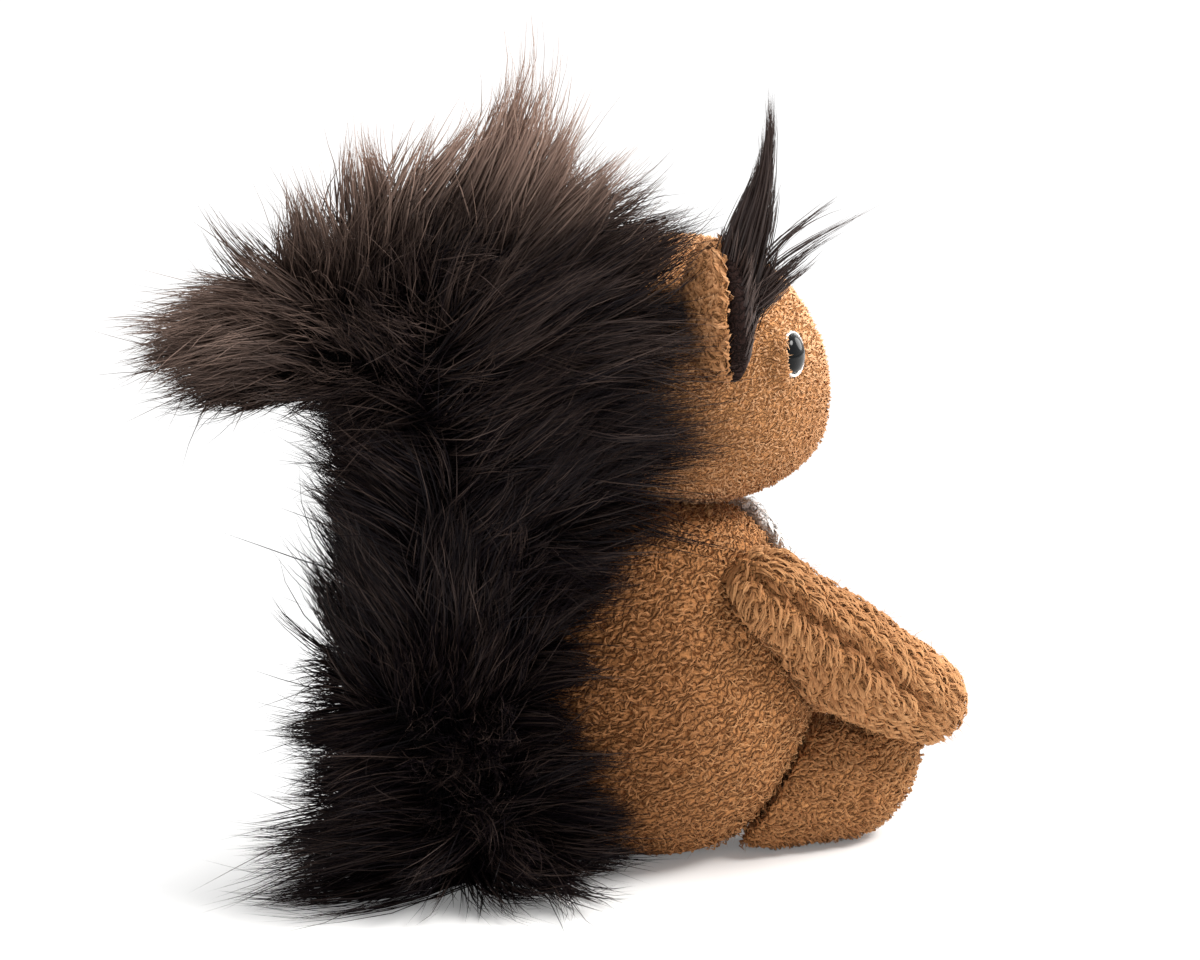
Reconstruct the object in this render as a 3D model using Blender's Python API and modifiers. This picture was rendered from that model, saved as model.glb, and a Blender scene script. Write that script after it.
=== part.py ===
"""Seated plush squirrel with a large long-haired tail, one object for each sewn or fitted piece.

The squirrel sits on z = 0 and faces -Y, so its own right side is at -X. The origin is the middle of the flat
underside of the torso. Lengths are in metres. The torso is modelled first; every later piece is trimmed by a
swollen copy of the pieces that it rests on, which leaves the same small gap along each contact.
"""
import math
import random

import bmesh
import bpy
from mathutils import Matrix, Vector

GAP = 0.0003  # clearance left between pieces that touch

# Torso, a turned pear that is flat underneath
SEAT_RADIUS = 0.0215
HAUNCH_RADIUS = 0.0365
HAUNCH_HEIGHT = 0.0145
BELLY_RADIUS = 0.045
BELLY_HEIGHT = 0.038
CHEST_RADIUS = 0.042
CHEST_HEIGHT = 0.060
SHOULDER_RADIUS = 0.034
SHOULDER_HEIGHT = 0.080
NECK_RADIUS = 0.024
NECK_HEIGHT = 0.092
TORSO_HEIGHT = 0.098

# White patch on the chest
PATCH_LOFT = 0.0025
PATCH_HALF_WIDTH = 0.020
PATCH_HALF_HEIGHT = 0.028
PATCH_MIDDLE_HEIGHT = 0.067

# Head, a ball with a low muzzle
HEAD_HALF_WIDTH = 0.0385
HEAD_HALF_DEPTH = 0.0375
HEAD_HALF_HEIGHT = 0.0375
HEAD_FORWARD = 0.009
HEAD_SEAT = 0.006  # how far the torso's top reaches into the head
MUZZLE_BULGE = 0.0050
MUZZLE_SPREAD = 0.22
MUZZLE_DROP = math.radians(16)

# Safety eyes: a domed cap with a shank, a white disc under it, and a washer inside the head
EYE_TURN = math.radians(67)  # from straight ahead round to the side
EYE_RISE = math.radians(11)
EYE_AXIS_TURN = math.radians(60)
EYE_AXIS_RISE = math.radians(8)
EYE_RADIUS = 0.0050
EYE_DOME = 0.0032
SHANK_RADIUS = 0.0016
SHANK_LENGTH = 0.0115
RIM_RADIUS = 0.0060
RIM_THICKNESS = 0.0010
EYE_SINK = 0.0022  # depth of the socket's floor under the plush
WASHER_RADIUS = 0.0055
WASHER_THICKNESS = 0.0018
WASHER_DEPTH = 0.0080

# Nose and mouth
NOSE_HALF_WIDTH = 0.0045
NOSE_HALF_DEPTH = 0.0028
NOSE_HALF_HEIGHT = 0.0032
NOSE_DROP = math.radians(8)
THREAD_RADIUS = 0.0006
MOUTH_LENGTH = 0.0085

# Ears: a flattened cup that opens forward, and its long-piled lining
EAR_TURN = math.radians(105)
EAR_RISE = math.radians(28.5)
EAR_STANDOFF = 0.0035
EAR_HALF_WIDTH = 0.0125
EAR_HALF_DEPTH = 0.0080
EAR_HALF_HEIGHT = 0.0185
EAR_WALL = 0.0022
EAR_LEAN = math.radians(8)  # how far the top leans toward the head
LINING_FORWARD = 0.0040
UP_TUFT_LENGTH = 0.052
LEFT_UP_TUFT_LENGTH = 0.026  # the left ear's upright tuft is the shorter one
UP_TUFT_RADIUS = 0.0058
FORWARD_TUFT_LENGTH = 0.040
FORWARD_TUFT_RADIUS = 0.0050

# Arms, from the shoulder forward and down to the paw
ARM_RADIUS = 0.0148
PAW_RADIUS = 0.0130
SHOULDER_OUT = 0.001  # shoulder centre outside the torso's shoulder radius
SHOULDER_DROP = 0.0055
SHOULDER_FORWARD = 0.016
PAW_SIDE = 0.034
PAW_FORWARD = 0.0645
PAW_HEIGHT = 0.0385
ARM_BOW = 0.003  # how far the middle of the arm stands outward
ARM_SAG = 0.0025  # how far it hangs below a straight line

# Legs, lying forward, each one sewn tube with its foot turned up
LEG_RADIUS = 0.0158
LEG_FLAT = 0.0007  # how far the leg is pressed flat where it lies
HIP_SIDE = 0.020
HIP_FORWARD = 0.022
HEEL_SIDE = 0.0235
HEEL_FORWARD = 0.0475
FOOT_HALF_LENGTH = 0.0215
FOOT_HALF_WIDTH = 0.0145
FOOT_HALF_THICKNESS = 0.0118
FOOT_TILT = math.radians(27)
FOOT_FORWARD = 0.009  # foot centre ahead of the heel centre

# Tail: a stuffed core that stands behind the torso and curls back, with long locks of hair
TAIL_ROOT_RADIUS = 0.0220
TAIL_CORE_RADIUS = 0.0240
TAIL_BEND_RADIUS = 0.0220
TAIL_TIP_RADIUS = 0.0120
TAIL_SETBACK = 0.017  # axis of the standing part behind the back of the belly
TAIL_ROOT_HEIGHT = 0.010
TAIL_BEND_HEIGHT = 0.128
TAIL_TOP_HEIGHT = 0.147
TAIL_CURL = 0.054  # how far the curled end reaches back past the standing part
CROWN_HALF_WIDTH = 0.026  # the mass of hair that stands on the bend
CROWN_HALF_DEPTH = 0.036
CROWN_HALF_HEIGHT = 0.0345
CROWN_TOP_HEIGHT = 0.190
CROWN_FORWARD = 0.005
LOCK_ROWS = 10
LOCKS_AROUND = 8
CROWN_LOCKS = 9
LOCK_LENGTH = 0.025
ROOT_FLARE = 0.55  # share by which the lowest locks are longer
LOCK_RADIUS = 0.0100
LOCK_TIP_RADIUS = 0.0009
LOCK_SEED = 11
CREST_LOCK_LENGTH = 0.056

# Fineness of the round surfaces
TORSO_STEPS = 32
HEAD_SEGMENTS = 30
SMALL_STEPS = 18

COLLECTION_NAME = "plush_squirrel"
CUTTER_COLLECTION_NAME = "plush_squirrel_cutters"


def new_collection(name):
    """Return a new collection that is linked to the scene."""
    collection = bpy.data.collections.new(name)
    bpy.context.scene.collection.children.link(collection)
    return collection


def new_material(name, colour, roughness, metallic=0.0):
    """Return a Principled material of one plain colour."""
    material = bpy.data.materials.new(name)
    material.use_nodes = True
    shader = material.node_tree.nodes["Principled BSDF"]
    shader.inputs["Base Color"].default_value = (*colour, 1.0)
    shader.inputs["Roughness"].default_value = roughness
    shader.inputs["Metallic"].default_value = metallic
    material.diffuse_color = (*colour, 1.0)
    return material


def add_object(name, bm, collection):
    """Turn a bmesh into an object with its faces pointing outward."""
    bmesh.ops.recalc_face_normals(bm, faces=bm.faces)
    if bm.calc_volume(signed=True) < 0.0:
        bmesh.ops.reverse_faces(bm, faces=bm.faces)
    mesh = bpy.data.meshes.new(name)
    bm.to_mesh(mesh)
    bm.free()
    obj = bpy.data.objects.new(name, mesh)
    collection.objects.link(obj)
    return obj


def evaluated_copy(obj, name, collection, weld=True):
    """Return a mesh object with the shape that the modifiers of another object give, and remove that one."""
    bpy.context.view_layer.update()
    depsgraph = bpy.context.evaluated_depsgraph_get()
    mesh = bpy.data.meshes.new_from_object(obj.evaluated_get(depsgraph))
    bm = bmesh.new()
    bm.from_mesh(mesh)
    if weld:
        bmesh.ops.remove_doubles(bm, verts=bm.verts, dist=0.000002)
        bmesh.ops.dissolve_degenerate(bm, edges=bm.edges, dist=0.000002)
    bm.transform(obj.matrix_world)
    bpy.data.objects.remove(obj)
    bpy.data.meshes.remove(mesh)
    return add_object(name, bm, collection)


def smooth_points(points, steps):
    """Return points along a smooth curve that passes through the given ones."""
    padded = [points[0] * 2 - points[1], *points, points[-1] * 2 - points[-2]]
    result = []
    for index in range(1, len(padded) - 2):
        before, start, end, after = padded[index - 1 : index + 3]
        for step in range(steps):
            t = step / steps
            linear = (end - before) * t
            square = (before * 2 - start * 5 + end * 4 - after) * t**2
            cubic = (start * 3 - before - end * 3 + after) * t**3
            result.append(start + (linear + square + cubic) * 0.5)
    result.append(points[-1].copy())
    return result


def turned(name, profile, steps, collection, closed=False):
    """Return a solid turned about Z from (radius, height) points that run down the outer side."""
    mesh = bpy.data.meshes.new(name + "_profile")
    edges = [(i, i + 1) for i in range(len(profile) - 1)]
    if closed:
        edges.append((len(profile) - 1, 0))
    mesh.from_pydata([(radius, 0.0, height) for radius, height in profile], edges, [])
    obj = bpy.data.objects.new(name + "_profile", mesh)
    collection.objects.link(obj)
    screw = obj.modifiers.new("Turn", "SCREW")
    screw.axis = "Z"
    screw.angle = math.tau
    screw.steps = steps
    screw.render_steps = steps
    screw.use_merge_vertices = True
    screw.merge_threshold = 0.00001
    return evaluated_copy(obj, name, collection)


def tube(name, stations, resolution, collection):
    """Return a capped tube through (centre, radius) stations."""
    curve = bpy.data.curves.new(name + "_path", "CURVE")
    curve.dimensions = "3D"
    curve.bevel_depth = 1.0
    curve.bevel_resolution = resolution
    curve.use_fill_caps = True
    spline = curve.splines.new("POLY")
    spline.points.add(len(stations) - 1)
    for point, (centre, radius) in zip(spline.points, stations):
        point.co = (*centre, 1.0)
        point.radius = radius
    obj = bpy.data.objects.new(name + "_path", curve)
    collection.objects.link(obj)
    return evaluated_copy(obj, name, collection)


def spread(values, share):
    """Return the value at a share of the way along evenly spread values."""
    place = share * (len(values) - 1)
    low = min(int(place), len(values) - 2)
    return values[low] + (values[low + 1] - values[low]) * (place - low)


def along(points, share):
    """Return the place and the direction at a share of the length of a line through points."""
    lengths = [(end - start).length for start, end in zip(points, points[1:])]
    left = share * sum(lengths)
    index = 0
    while index < len(lengths) - 1 and left > lengths[index]:
        left -= lengths[index]
        index += 1
    direction = (points[index + 1] - points[index]).normalized()
    return points[index] + direction * left, direction


def rounded_stations(points, radii):
    """Return stations for a tube with dome-shaped ends; the radii are spread evenly along the points."""
    last = len(points) - 1
    stations = [(point, spread(radii, index / last)) for index, point in enumerate(points)]
    end_direction = (points[-1] - points[-2]).normalized()
    start_direction = (points[0] - points[1]).normalized()
    dome = [math.radians(angle) for angle in (28, 52, 74)]
    for angle in dome:
        reach = end_direction * radii[-1] * math.sin(angle)
        stations.append((points[-1] + reach, radii[-1] * math.cos(angle)))
    for angle in dome:
        reach = start_direction * radii[0] * math.sin(angle)
        stations.insert(0, (points[0] + reach, radii[0] * math.cos(angle)))
    return stations


def ellipsoid(name, matrix, half_sizes, segments, rings, collection):
    """Return a ball stretched to the three half sizes and placed by the matrix."""
    bm = bmesh.new()
    bmesh.ops.create_uvsphere(bm, u_segments=segments, v_segments=rings, radius=1.0)
    bm.transform(matrix @ Matrix.Diagonal((*half_sizes, 1.0)))
    return add_object(name, bm, collection)


def box(name, low, high, collection):
    """Return a box between two corners."""
    bm = bmesh.new()
    bmesh.ops.create_cube(bm, size=1.0)
    size = Vector(high) - Vector(low)
    middle = (Vector(high) + Vector(low)) / 2
    bm.transform(Matrix.Translation(middle) @ Matrix.Diagonal((*size, 1.0)))
    return add_object(name, bm, collection)


def swollen(obj, distance, collection):
    """Return a copy of an object that is larger by the distance all over."""
    bm = bmesh.new()
    bm.from_mesh(obj.data)
    bm.normal_update()
    for vert in bm.verts:
        vert.co += vert.normal * distance
    return add_object(obj.name + "_swollen", bm, collection)


def combine(target, operand, operation, solver="EXACT"):
    """Apply one Boolean to the target and remove the operand."""
    collection = target.users_collection[0]
    name = target.name
    target.name = name + "_before"
    modifier = target.modifiers.new("Boolean", "BOOLEAN")
    modifier.operation = operation
    modifier.solver = solver
    modifier.object = operand
    result = evaluated_copy(target, name, collection, weld=solver == "EXACT")
    bpy.data.objects.remove(operand)
    return result


def trimmed(target, neighbours, cutters, solver="EXACT"):
    """Cut the target back from its neighbours so that the gap is left between them."""
    for neighbour in neighbours:
        target = combine(target, swollen(neighbour, GAP, cutters), "DIFFERENCE", solver)
    return largest_body(target)


def largest_body(obj):
    """Drop crumbs that a cut may leave beside the main body."""
    bm = bmesh.new()
    bm.from_mesh(obj.data)
    seen = set()
    bodies = []
    for face in bm.faces:
        if face in seen:
            continue
        body = []
        queue = [face]
        seen.add(face)
        while queue:
            current = queue.pop()
            body.append(current)
            for edge in current.edges:
                for other in edge.link_faces:
                    if other not in seen:
                        seen.add(other)
                        queue.append(other)
        bodies.append(body)
    bodies.sort(key=lambda faces: sum(f.calc_area() for f in faces))
    crumbs = [face for body in bodies[:-1] for face in body]
    if crumbs:
        bmesh.ops.delete(bm, geom=crumbs, context="FACES")
        bm.to_mesh(obj.data)
    bm.free()
    return obj


def mirrored(obj, name, collection):
    """Return the same piece for the other side of the squirrel."""
    bm = bmesh.new()
    bm.from_mesh(obj.data)
    bm.transform(Matrix.Scale(-1.0, 4, Vector((1.0, 0.0, 0.0))))
    return add_object(name, bm, collection)


def direction_from(turn, rise):
    """Return a unit vector turned from straight ahead to the squirrel's right, and raised."""
    level = math.cos(rise)
    return Vector((-math.sin(turn) * level, -math.cos(turn) * level, math.sin(rise)))


def head_centre():
    """Return the middle of the head, which rests on the torso's top."""
    return Vector((0.0, -HEAD_FORWARD, TORSO_HEIGHT - HEAD_SEAT + HEAD_HALF_HEIGHT))


def head_point(direction):
    """Return the point of the head's surface that lies in a direction from its middle."""
    toward_muzzle = direction_from(0.0, -MUZZLE_DROP)
    off = 1.0 - direction.dot(toward_muzzle)
    bulge = MUZZLE_BULGE * math.exp(-((off / MUZZLE_SPREAD) ** 2))
    stretched = Vector(
        (direction.x * HEAD_HALF_WIDTH, direction.y * HEAD_HALF_DEPTH, direction.z * HEAD_HALF_HEIGHT)
    )
    return head_centre() + stretched + toward_muzzle * bulge


def make_torso(collection):
    """Return the torso."""
    outline = [
        (0.0, TORSO_HEIGHT),
        (NECK_RADIUS, NECK_HEIGHT),
        (SHOULDER_RADIUS, SHOULDER_HEIGHT),
        (CHEST_RADIUS, CHEST_HEIGHT),
        (BELLY_RADIUS, BELLY_HEIGHT),
        (HAUNCH_RADIUS, HAUNCH_HEIGHT),
        (SEAT_RADIUS, 0.0),
    ]
    curve = smooth_points([Vector(pair) for pair in outline], 3)
    profile = [(max(point.x, 0.0), max(point.y, 0.0)) for point in curve]
    profile.append((0.0, 0.0))
    return turned("torso", profile, TORSO_STEPS, collection)


def make_head(torso, collection, cutters):
    """Return the head with the sockets for both eyes."""
    bm = bmesh.new()
    bmesh.ops.create_uvsphere(bm, u_segments=HEAD_SEGMENTS, v_segments=HEAD_SEGMENTS // 2 + 3, radius=1.0)
    for vert in bm.verts:
        vert.co = head_point(vert.co.normalized())
    head = add_object("head", bm, collection)
    head = trimmed(head, [torso], cutters)
    for side in (-1, 1):
        head = combine(head, eye_socket(side, cutters), "DIFFERENCE")
    return head


def eye_frame(side):
    """Return the placement of an eye: its origin is on the plush and its Z axis points out."""
    axis = direction_from(EYE_AXIS_TURN, EYE_AXIS_RISE)
    place = head_point(direction_from(EYE_TURN, EYE_RISE))
    axis.x *= -side
    place.x *= -side
    return Matrix.Translation(place) @ axis.to_track_quat("Z", "Y").to_matrix().to_4x4()


def eye_socket(side, cutters):
    """Return the cutter for one eye: a wide seat, a narrow bore, and the washer's pocket on it."""
    outside = EYE_DOME + HEAD_HALF_WIDTH * 0.2
    bore = SHANK_RADIUS + GAP
    pocket = WASHER_RADIUS + GAP
    pocket_top = -WASHER_DEPTH + GAP
    pocket_bottom = -WASHER_DEPTH - WASHER_THICKNESS - GAP
    profile = [
        (0.0, outside),
        (RIM_RADIUS + GAP, outside),
        (RIM_RADIUS + GAP, -EYE_SINK),
        (bore, -EYE_SINK),
        (bore, pocket_top),
        (pocket, pocket_top),
        (pocket, pocket_bottom),
        (bore, pocket_bottom),
        (bore, -SHANK_LENGTH - EYE_SINK - GAP),
        (0.0, -SHANK_LENGTH - EYE_SINK - GAP),
    ]
    cutter = turned("eye_socket", profile, SMALL_STEPS, cutters)
    cutter.data.transform(eye_frame(side))
    return cutter


def make_eye(side, name, collection):
    """Return one domed eye with its shank."""
    rim_top = -EYE_SINK + GAP + RIM_THICKNESS
    base = rim_top + GAP
    profile = [
        (EYE_RADIUS * math.sin(math.radians(angle)), base + EYE_DOME * math.cos(math.radians(angle)))
        for angle in range(0, 91, 18)
    ]
    profile.append((SHANK_RADIUS, base))
    profile.append((SHANK_RADIUS, -SHANK_LENGTH - EYE_SINK))
    profile.append((0.0, -SHANK_LENGTH - EYE_SINK))
    eye = turned(name, profile, SMALL_STEPS, collection)
    eye.data.transform(eye_frame(side))
    return eye


def make_disc(side, name, radius, top, thickness, collection):
    """Return a flat ring that the shank of an eye passes through."""
    bore = SHANK_RADIUS + GAP
    profile = [(bore, top), (radius, top), (radius, top - thickness), (bore, top - thickness)]
    disc = turned(name, profile, SMALL_STEPS, collection, closed=True)
    disc.data.transform(eye_frame(side))
    return disc


def make_chest_panel(torso, head, collection, cutters):
    """Return the white patch, a thin layer of the torso's own shape."""
    patch = swollen(torso, GAP + PATCH_LOFT, collection)
    patch.name = "chest_panel"
    reach = Vector((0.0, -CHEST_RADIUS, PATCH_MIDDLE_HEIGHT))
    outline = ellipsoid(
        "patch_outline",
        Matrix.Translation(reach),
        (PATCH_HALF_WIDTH, CHEST_RADIUS * 0.62, PATCH_HALF_HEIGHT),
        28,
        18,
        cutters,
    )
    patch = combine(patch, outline, "INTERSECT")
    return trimmed(patch, [torso, head], cutters)


def ear_frame():
    """Return the placement of the right ear: X is outward, -Y is the opening, Z is up the ear."""
    place = head_point(direction_from(EAR_TURN, EAR_RISE))
    place += direction_from(EAR_TURN, EAR_RISE) * EAR_STANDOFF
    flip = Matrix.Scale(-1.0, 4, Vector((1.0, 0.0, 0.0)))
    return Matrix.Translation(place) @ Matrix.Rotation(EAR_LEAN, 4, "Y") @ flip


def lining_frame():
    """Return the placement of the lining, a little ahead of the ear's middle."""
    return ear_frame() @ Matrix.Translation((0.0, -LINING_FORWARD, 0.0))


def make_ear(head, collection, cutters):
    """Return the right ear."""
    ear = ellipsoid(
        "ear_right", ear_frame(), (EAR_HALF_WIDTH, EAR_HALF_DEPTH, EAR_HALF_HEIGHT), 16, 10, collection
    )
    hollow = ellipsoid(
        "ear_hollow",
        lining_frame(),
        (EAR_HALF_WIDTH - EAR_WALL, EAR_HALF_DEPTH, EAR_HALF_HEIGHT - EAR_WALL),
        16,
        10,
        cutters,
    )
    ear = combine(ear, hollow, "DIFFERENCE")
    return trimmed(ear, [head], cutters)


def tuft(name, start, direction, bend, length, radius, resolution, collection):
    """Return one pointed lock of hair that bends sideways toward its tip."""
    stations = []
    for share, width in ((0.0, 0.95), (0.30, 0.92), (0.66, 0.52), (1.0, 0.10)):
        place = start + direction * length * share + bend * length * share**2
        stations.append((place, max(radius * width, LOCK_TIP_RADIUS * width)))
    return tube(name, stations, resolution, collection)


def make_lining(name, up_length, ear, head, collection, cutters):
    """Return the lining of a right ear with its upright and its forward tuft."""
    frame = lining_frame()
    half_sizes = (
        EAR_HALF_WIDTH - EAR_WALL - GAP,
        EAR_HALF_DEPTH - GAP,
        EAR_HALF_HEIGHT - EAR_WALL - GAP,
    )
    lining = ellipsoid(name, frame, half_sizes, 14, 9, collection)
    upper = frame @ Vector((half_sizes[0] * 0.25, 0.0, half_sizes[2] * 0.35))
    upright = Vector((0.10, -0.14, 1.0)).normalized()
    forward = Vector((-0.18, -0.84, 0.50)).normalized()
    locks = [
        (upper, upright, Vector((0.02, -0.05, 0.0)), up_length, UP_TUFT_RADIUS),
        (upper, (upright + forward * 0.35).normalized(), Vector(), up_length * 0.62, UP_TUFT_RADIUS * 0.9),
        (upper, forward, Vector((0.0, 0.0, 0.06)), FORWARD_TUFT_LENGTH, FORWARD_TUFT_RADIUS),
        (upper, (forward + upright * 0.55).normalized(), Vector(), FORWARD_TUFT_LENGTH * 0.78, FORWARD_TUFT_RADIUS),
    ]
    for start, direction, bend, length, radius in locks:
        lock = tuft("ear_lock", start, direction, bend, length, radius, 1, cutters)
        lining = combine(lining, lock, "UNION")
    return trimmed(lining, [head, ear], cutters)


def make_leg(torso, chest_panel, collection, cutters):
    """Return the right leg with its foot."""
    level = LEG_RADIUS - LEG_FLAT
    hip = Vector((-HIP_SIDE, -HIP_FORWARD, level))
    heel = Vector((-HEEL_SIDE, -HEEL_FORWARD, level))
    points = [hip + (heel - hip) * (i / 4) for i in range(5)]
    leg = tube("leg_right", rounded_stations(points, (LEG_RADIUS, LEG_RADIUS)), 5, collection)
    half_rise = math.hypot(
        FOOT_HALF_LENGTH * math.cos(FOOT_TILT), FOOT_HALF_THICKNESS * math.sin(FOOT_TILT)
    )
    foot_place = Vector((-HEEL_SIDE, -HEEL_FORWARD - FOOT_FORWARD, half_rise - LEG_FLAT))
    foot = ellipsoid(
        "foot",
        Matrix.Translation(foot_place) @ Matrix.Rotation(FOOT_TILT, 4, "X"),
        (FOOT_HALF_WIDTH, FOOT_HALF_THICKNESS, FOOT_HALF_LENGTH),
        18,
        14,
        cutters,
    )
    leg = combine(leg, foot, "UNION")
    reach = HEEL_FORWARD + FOOT_FORWARD + FOOT_HALF_LENGTH * 2
    floor = box("floor", (-reach, -reach, -reach), (reach, reach, 0.0), cutters)
    leg = combine(leg, floor, "DIFFERENCE")
    far_side = box("far_side", (-GAP / 2, -reach, -reach), (reach, reach, reach), cutters)
    leg = combine(leg, far_side, "DIFFERENCE")
    return trimmed(leg, [torso, chest_panel], cutters)


def make_arm(torso, head, chest_panel, leg, collection, cutters):
    """Return the right arm."""
    shoulder = Vector(
        (-SHOULDER_RADIUS - SHOULDER_OUT, -SHOULDER_FORWARD, SHOULDER_HEIGHT - SHOULDER_DROP)
    )
    paw = Vector((-PAW_SIDE, -PAW_FORWARD, PAW_HEIGHT))
    middle = (shoulder + paw) / 2 + Vector((-ARM_BOW, 0.0, -ARM_SAG))
    points = smooth_points([shoulder, middle, paw], 4)
    radii = (ARM_RADIUS, (ARM_RADIUS + PAW_RADIUS) / 2, PAW_RADIUS)
    arm = tube("arm_right", rounded_stations(points, radii), 5, collection)
    return trimmed(arm, [torso, head, chest_panel, leg], cutters)


def tail_axis():
    """Return points along the middle of the tail, from its root by the seat to its curled end."""
    behind = BELLY_RADIUS + TAIL_SETBACK
    rise = TAIL_BEND_HEIGHT - TAIL_ROOT_HEIGHT
    outline = [
        (behind - 0.010, TAIL_ROOT_HEIGHT),
        (behind, TAIL_ROOT_HEIGHT + rise * 0.25),
        (behind - 0.002, TAIL_ROOT_HEIGHT + rise * 0.56),
        (behind - 0.008, TAIL_ROOT_HEIGHT + rise * 0.84),
        (behind - 0.006, TAIL_BEND_HEIGHT),
        (behind + TAIL_CURL * 0.10, TAIL_BEND_HEIGHT + (TAIL_TOP_HEIGHT - TAIL_BEND_HEIGHT) * 0.75),
        (behind + TAIL_CURL * 0.42, TAIL_TOP_HEIGHT),
        (behind + TAIL_CURL, TAIL_TOP_HEIGHT),
    ]
    return smooth_points([Vector((0.0, y, z)) for y, z in outline], 3)


def crown_frame():
    """Return the placement of the tail's crown, the mass of hair on its bend, and its half sizes."""
    behind = BELLY_RADIUS + TAIL_SETBACK
    place = Vector((0.0, behind - CROWN_FORWARD, CROWN_TOP_HEIGHT - CROWN_HALF_HEIGHT))
    return Matrix.Translation(place), (CROWN_HALF_WIDTH, CROWN_HALF_DEPTH, CROWN_HALF_HEIGHT)


def lock_direction(outward, tangent, place):
    """Return the way a lock of the tail's hair lies at a place on the core."""
    height = max(0.0, min(1.0, place.z / TAIL_TOP_HEIGHT))
    back = max(0.0, min(1.0, (place.y - BELLY_RADIUS - TAIL_SETBACK) / (TAIL_CURL * 0.5)))
    flow = -0.35 + 1.10 * height + 1.3 * back
    beside_head = math.exp(-(((height - 0.82) / 0.22) ** 2)) * abs(outward.x)
    forward = Vector((0.0, -1.0, 0.0)) * 1.15 * beside_head
    return (outward + tangent * flow + forward).normalized()


def core_locks(axis, radii, chance):
    """Return (start, direction, bend, length, radius) of each lock on the core."""
    locks = []
    for row in range(LOCK_ROWS):
        share = (row + 0.6) / LOCK_ROWS
        centre, tangent = along(axis, share)
        core = spread(radii, share)
        across = tangent.cross(Vector((1.0, 0.0, 0.0))).normalized()
        for column in range(LOCKS_AROUND):
            angle = math.tau * (column + 0.5 * (row % 2) + chance.uniform(-0.15, 0.15)) / LOCKS_AROUND
            outward = Vector((1.0, 0.0, 0.0)) * math.cos(angle) + across * math.sin(angle)
            direction = lock_direction(outward, tangent, centre)
            flare = 1.0 + ROOT_FLARE * max(0.0, 1.0 - centre.z / (TAIL_BEND_HEIGHT * 0.4))
            length = LOCK_LENGTH * flare * chance.uniform(0.85, 1.2) + LOCK_RADIUS
            bend = tangent * chance.uniform(-0.12, 0.30) + Vector((chance.uniform(-0.1, 0.1), 0.0, 0.0))
            locks.append((centre + outward * (core - LOCK_RADIUS), direction, bend, length, LOCK_RADIUS))
    return locks


def crown_locks(chance):
    """Return the locks that stand on the crown: a ring, a tall spike and a tuft behind it."""
    matrix, half_sizes = crown_frame()
    upward = Vector((0.0, 0.0, 1.0))
    locks = []
    for index in range(CROWN_LOCKS):
        angle = math.tau * (index + chance.uniform(-0.2, 0.2)) / CROWN_LOCKS
        outward = Vector((math.cos(angle), math.sin(angle), 0.0))
        start = matrix @ Vector((outward.x * half_sizes[0] * 0.6, outward.y * half_sizes[1] * 0.6, 0.0))
        length = LOCK_LENGTH * chance.uniform(1.1, 1.4) + LOCK_RADIUS
        locks.append((start, (outward * 0.55 + upward).normalized(), Vector(), length, LOCK_RADIUS))
    middle = matrix @ Vector((0.0, -half_sizes[1] * 0.15, half_sizes[2] * 0.3))
    rear = matrix @ Vector((0.0, half_sizes[1] * 0.62, half_sizes[2] * 0.2))
    for start, direction, share in (
        (middle, Vector((-0.20, 0.0, 1.0)), 1.15),
        (middle, Vector((-0.45, -0.38, 1.0)), 0.66),
        (middle, Vector((0.25, -0.42, 1.0)), 0.60),
        (rear, Vector((-0.16, 0.10, 1.0)), 0.62),
        (rear, Vector((0.20, 0.40, 1.0)), 0.56),
    ):
        locks.append((start, direction.normalized(), Vector(), CREST_LOCK_LENGTH * share, LOCK_RADIUS * 1.1))
    return locks


def end_locks(axis):
    """Return the locks at the curled end."""
    back = (axis[-1] - axis[-2]).normalized()
    locks = []
    for aside, share in (
        (Vector((0.10, 0.0, 0.20)), 0.58),
        (Vector((-0.20, 0.0, -0.02)), 0.66),
        (Vector((0.05, 0.0, -0.26)), 0.62),
    ):
        locks.append((axis[-1], (back + aside).normalized(), Vector(), CREST_LOCK_LENGTH * share, LOCK_RADIUS))
    return locks


def make_tail(neighbours, collection, cutters):
    """Return the tail with its crown and its locks."""
    chance = random.Random(LOCK_SEED)
    axis = tail_axis()
    radii = (TAIL_ROOT_RADIUS, TAIL_CORE_RADIUS, TAIL_CORE_RADIUS, TAIL_BEND_RADIUS, TAIL_TIP_RADIUS)
    tail = tube("tail", rounded_stations(axis, radii), 4, collection)
    crown = ellipsoid("crown", *crown_frame(), 20, 12, cutters)
    tail = combine(tail, crown, "UNION", "MANIFOLD")
    for lock in core_locks(axis, radii, chance) + crown_locks(chance) + end_locks(axis):
        tail = combine(tail, tuft("lock", *lock, 1, cutters), "UNION", "MANIFOLD")
    reach = BELLY_RADIUS + TAIL_SETBACK + TAIL_CURL + CREST_LOCK_LENGTH * 2
    floor = box("tail_floor", (-reach, -reach, -reach), (reach, reach, 0.0), cutters)
    tail = combine(tail, floor, "DIFFERENCE", "MANIFOLD")
    return trimmed(tail, neighbours, cutters, "MANIFOLD")


def make_nose(head, collection, cutters):
    """Return the stitched nose."""
    place = head_point(direction_from(0.0, -NOSE_DROP))
    half_sizes = (NOSE_HALF_WIDTH, NOSE_HALF_DEPTH, NOSE_HALF_HEIGHT)
    nose = ellipsoid("nose", Matrix.Translation(place), half_sizes, 16, 10, collection)
    return trimmed(nose, [head], cutters)


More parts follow.
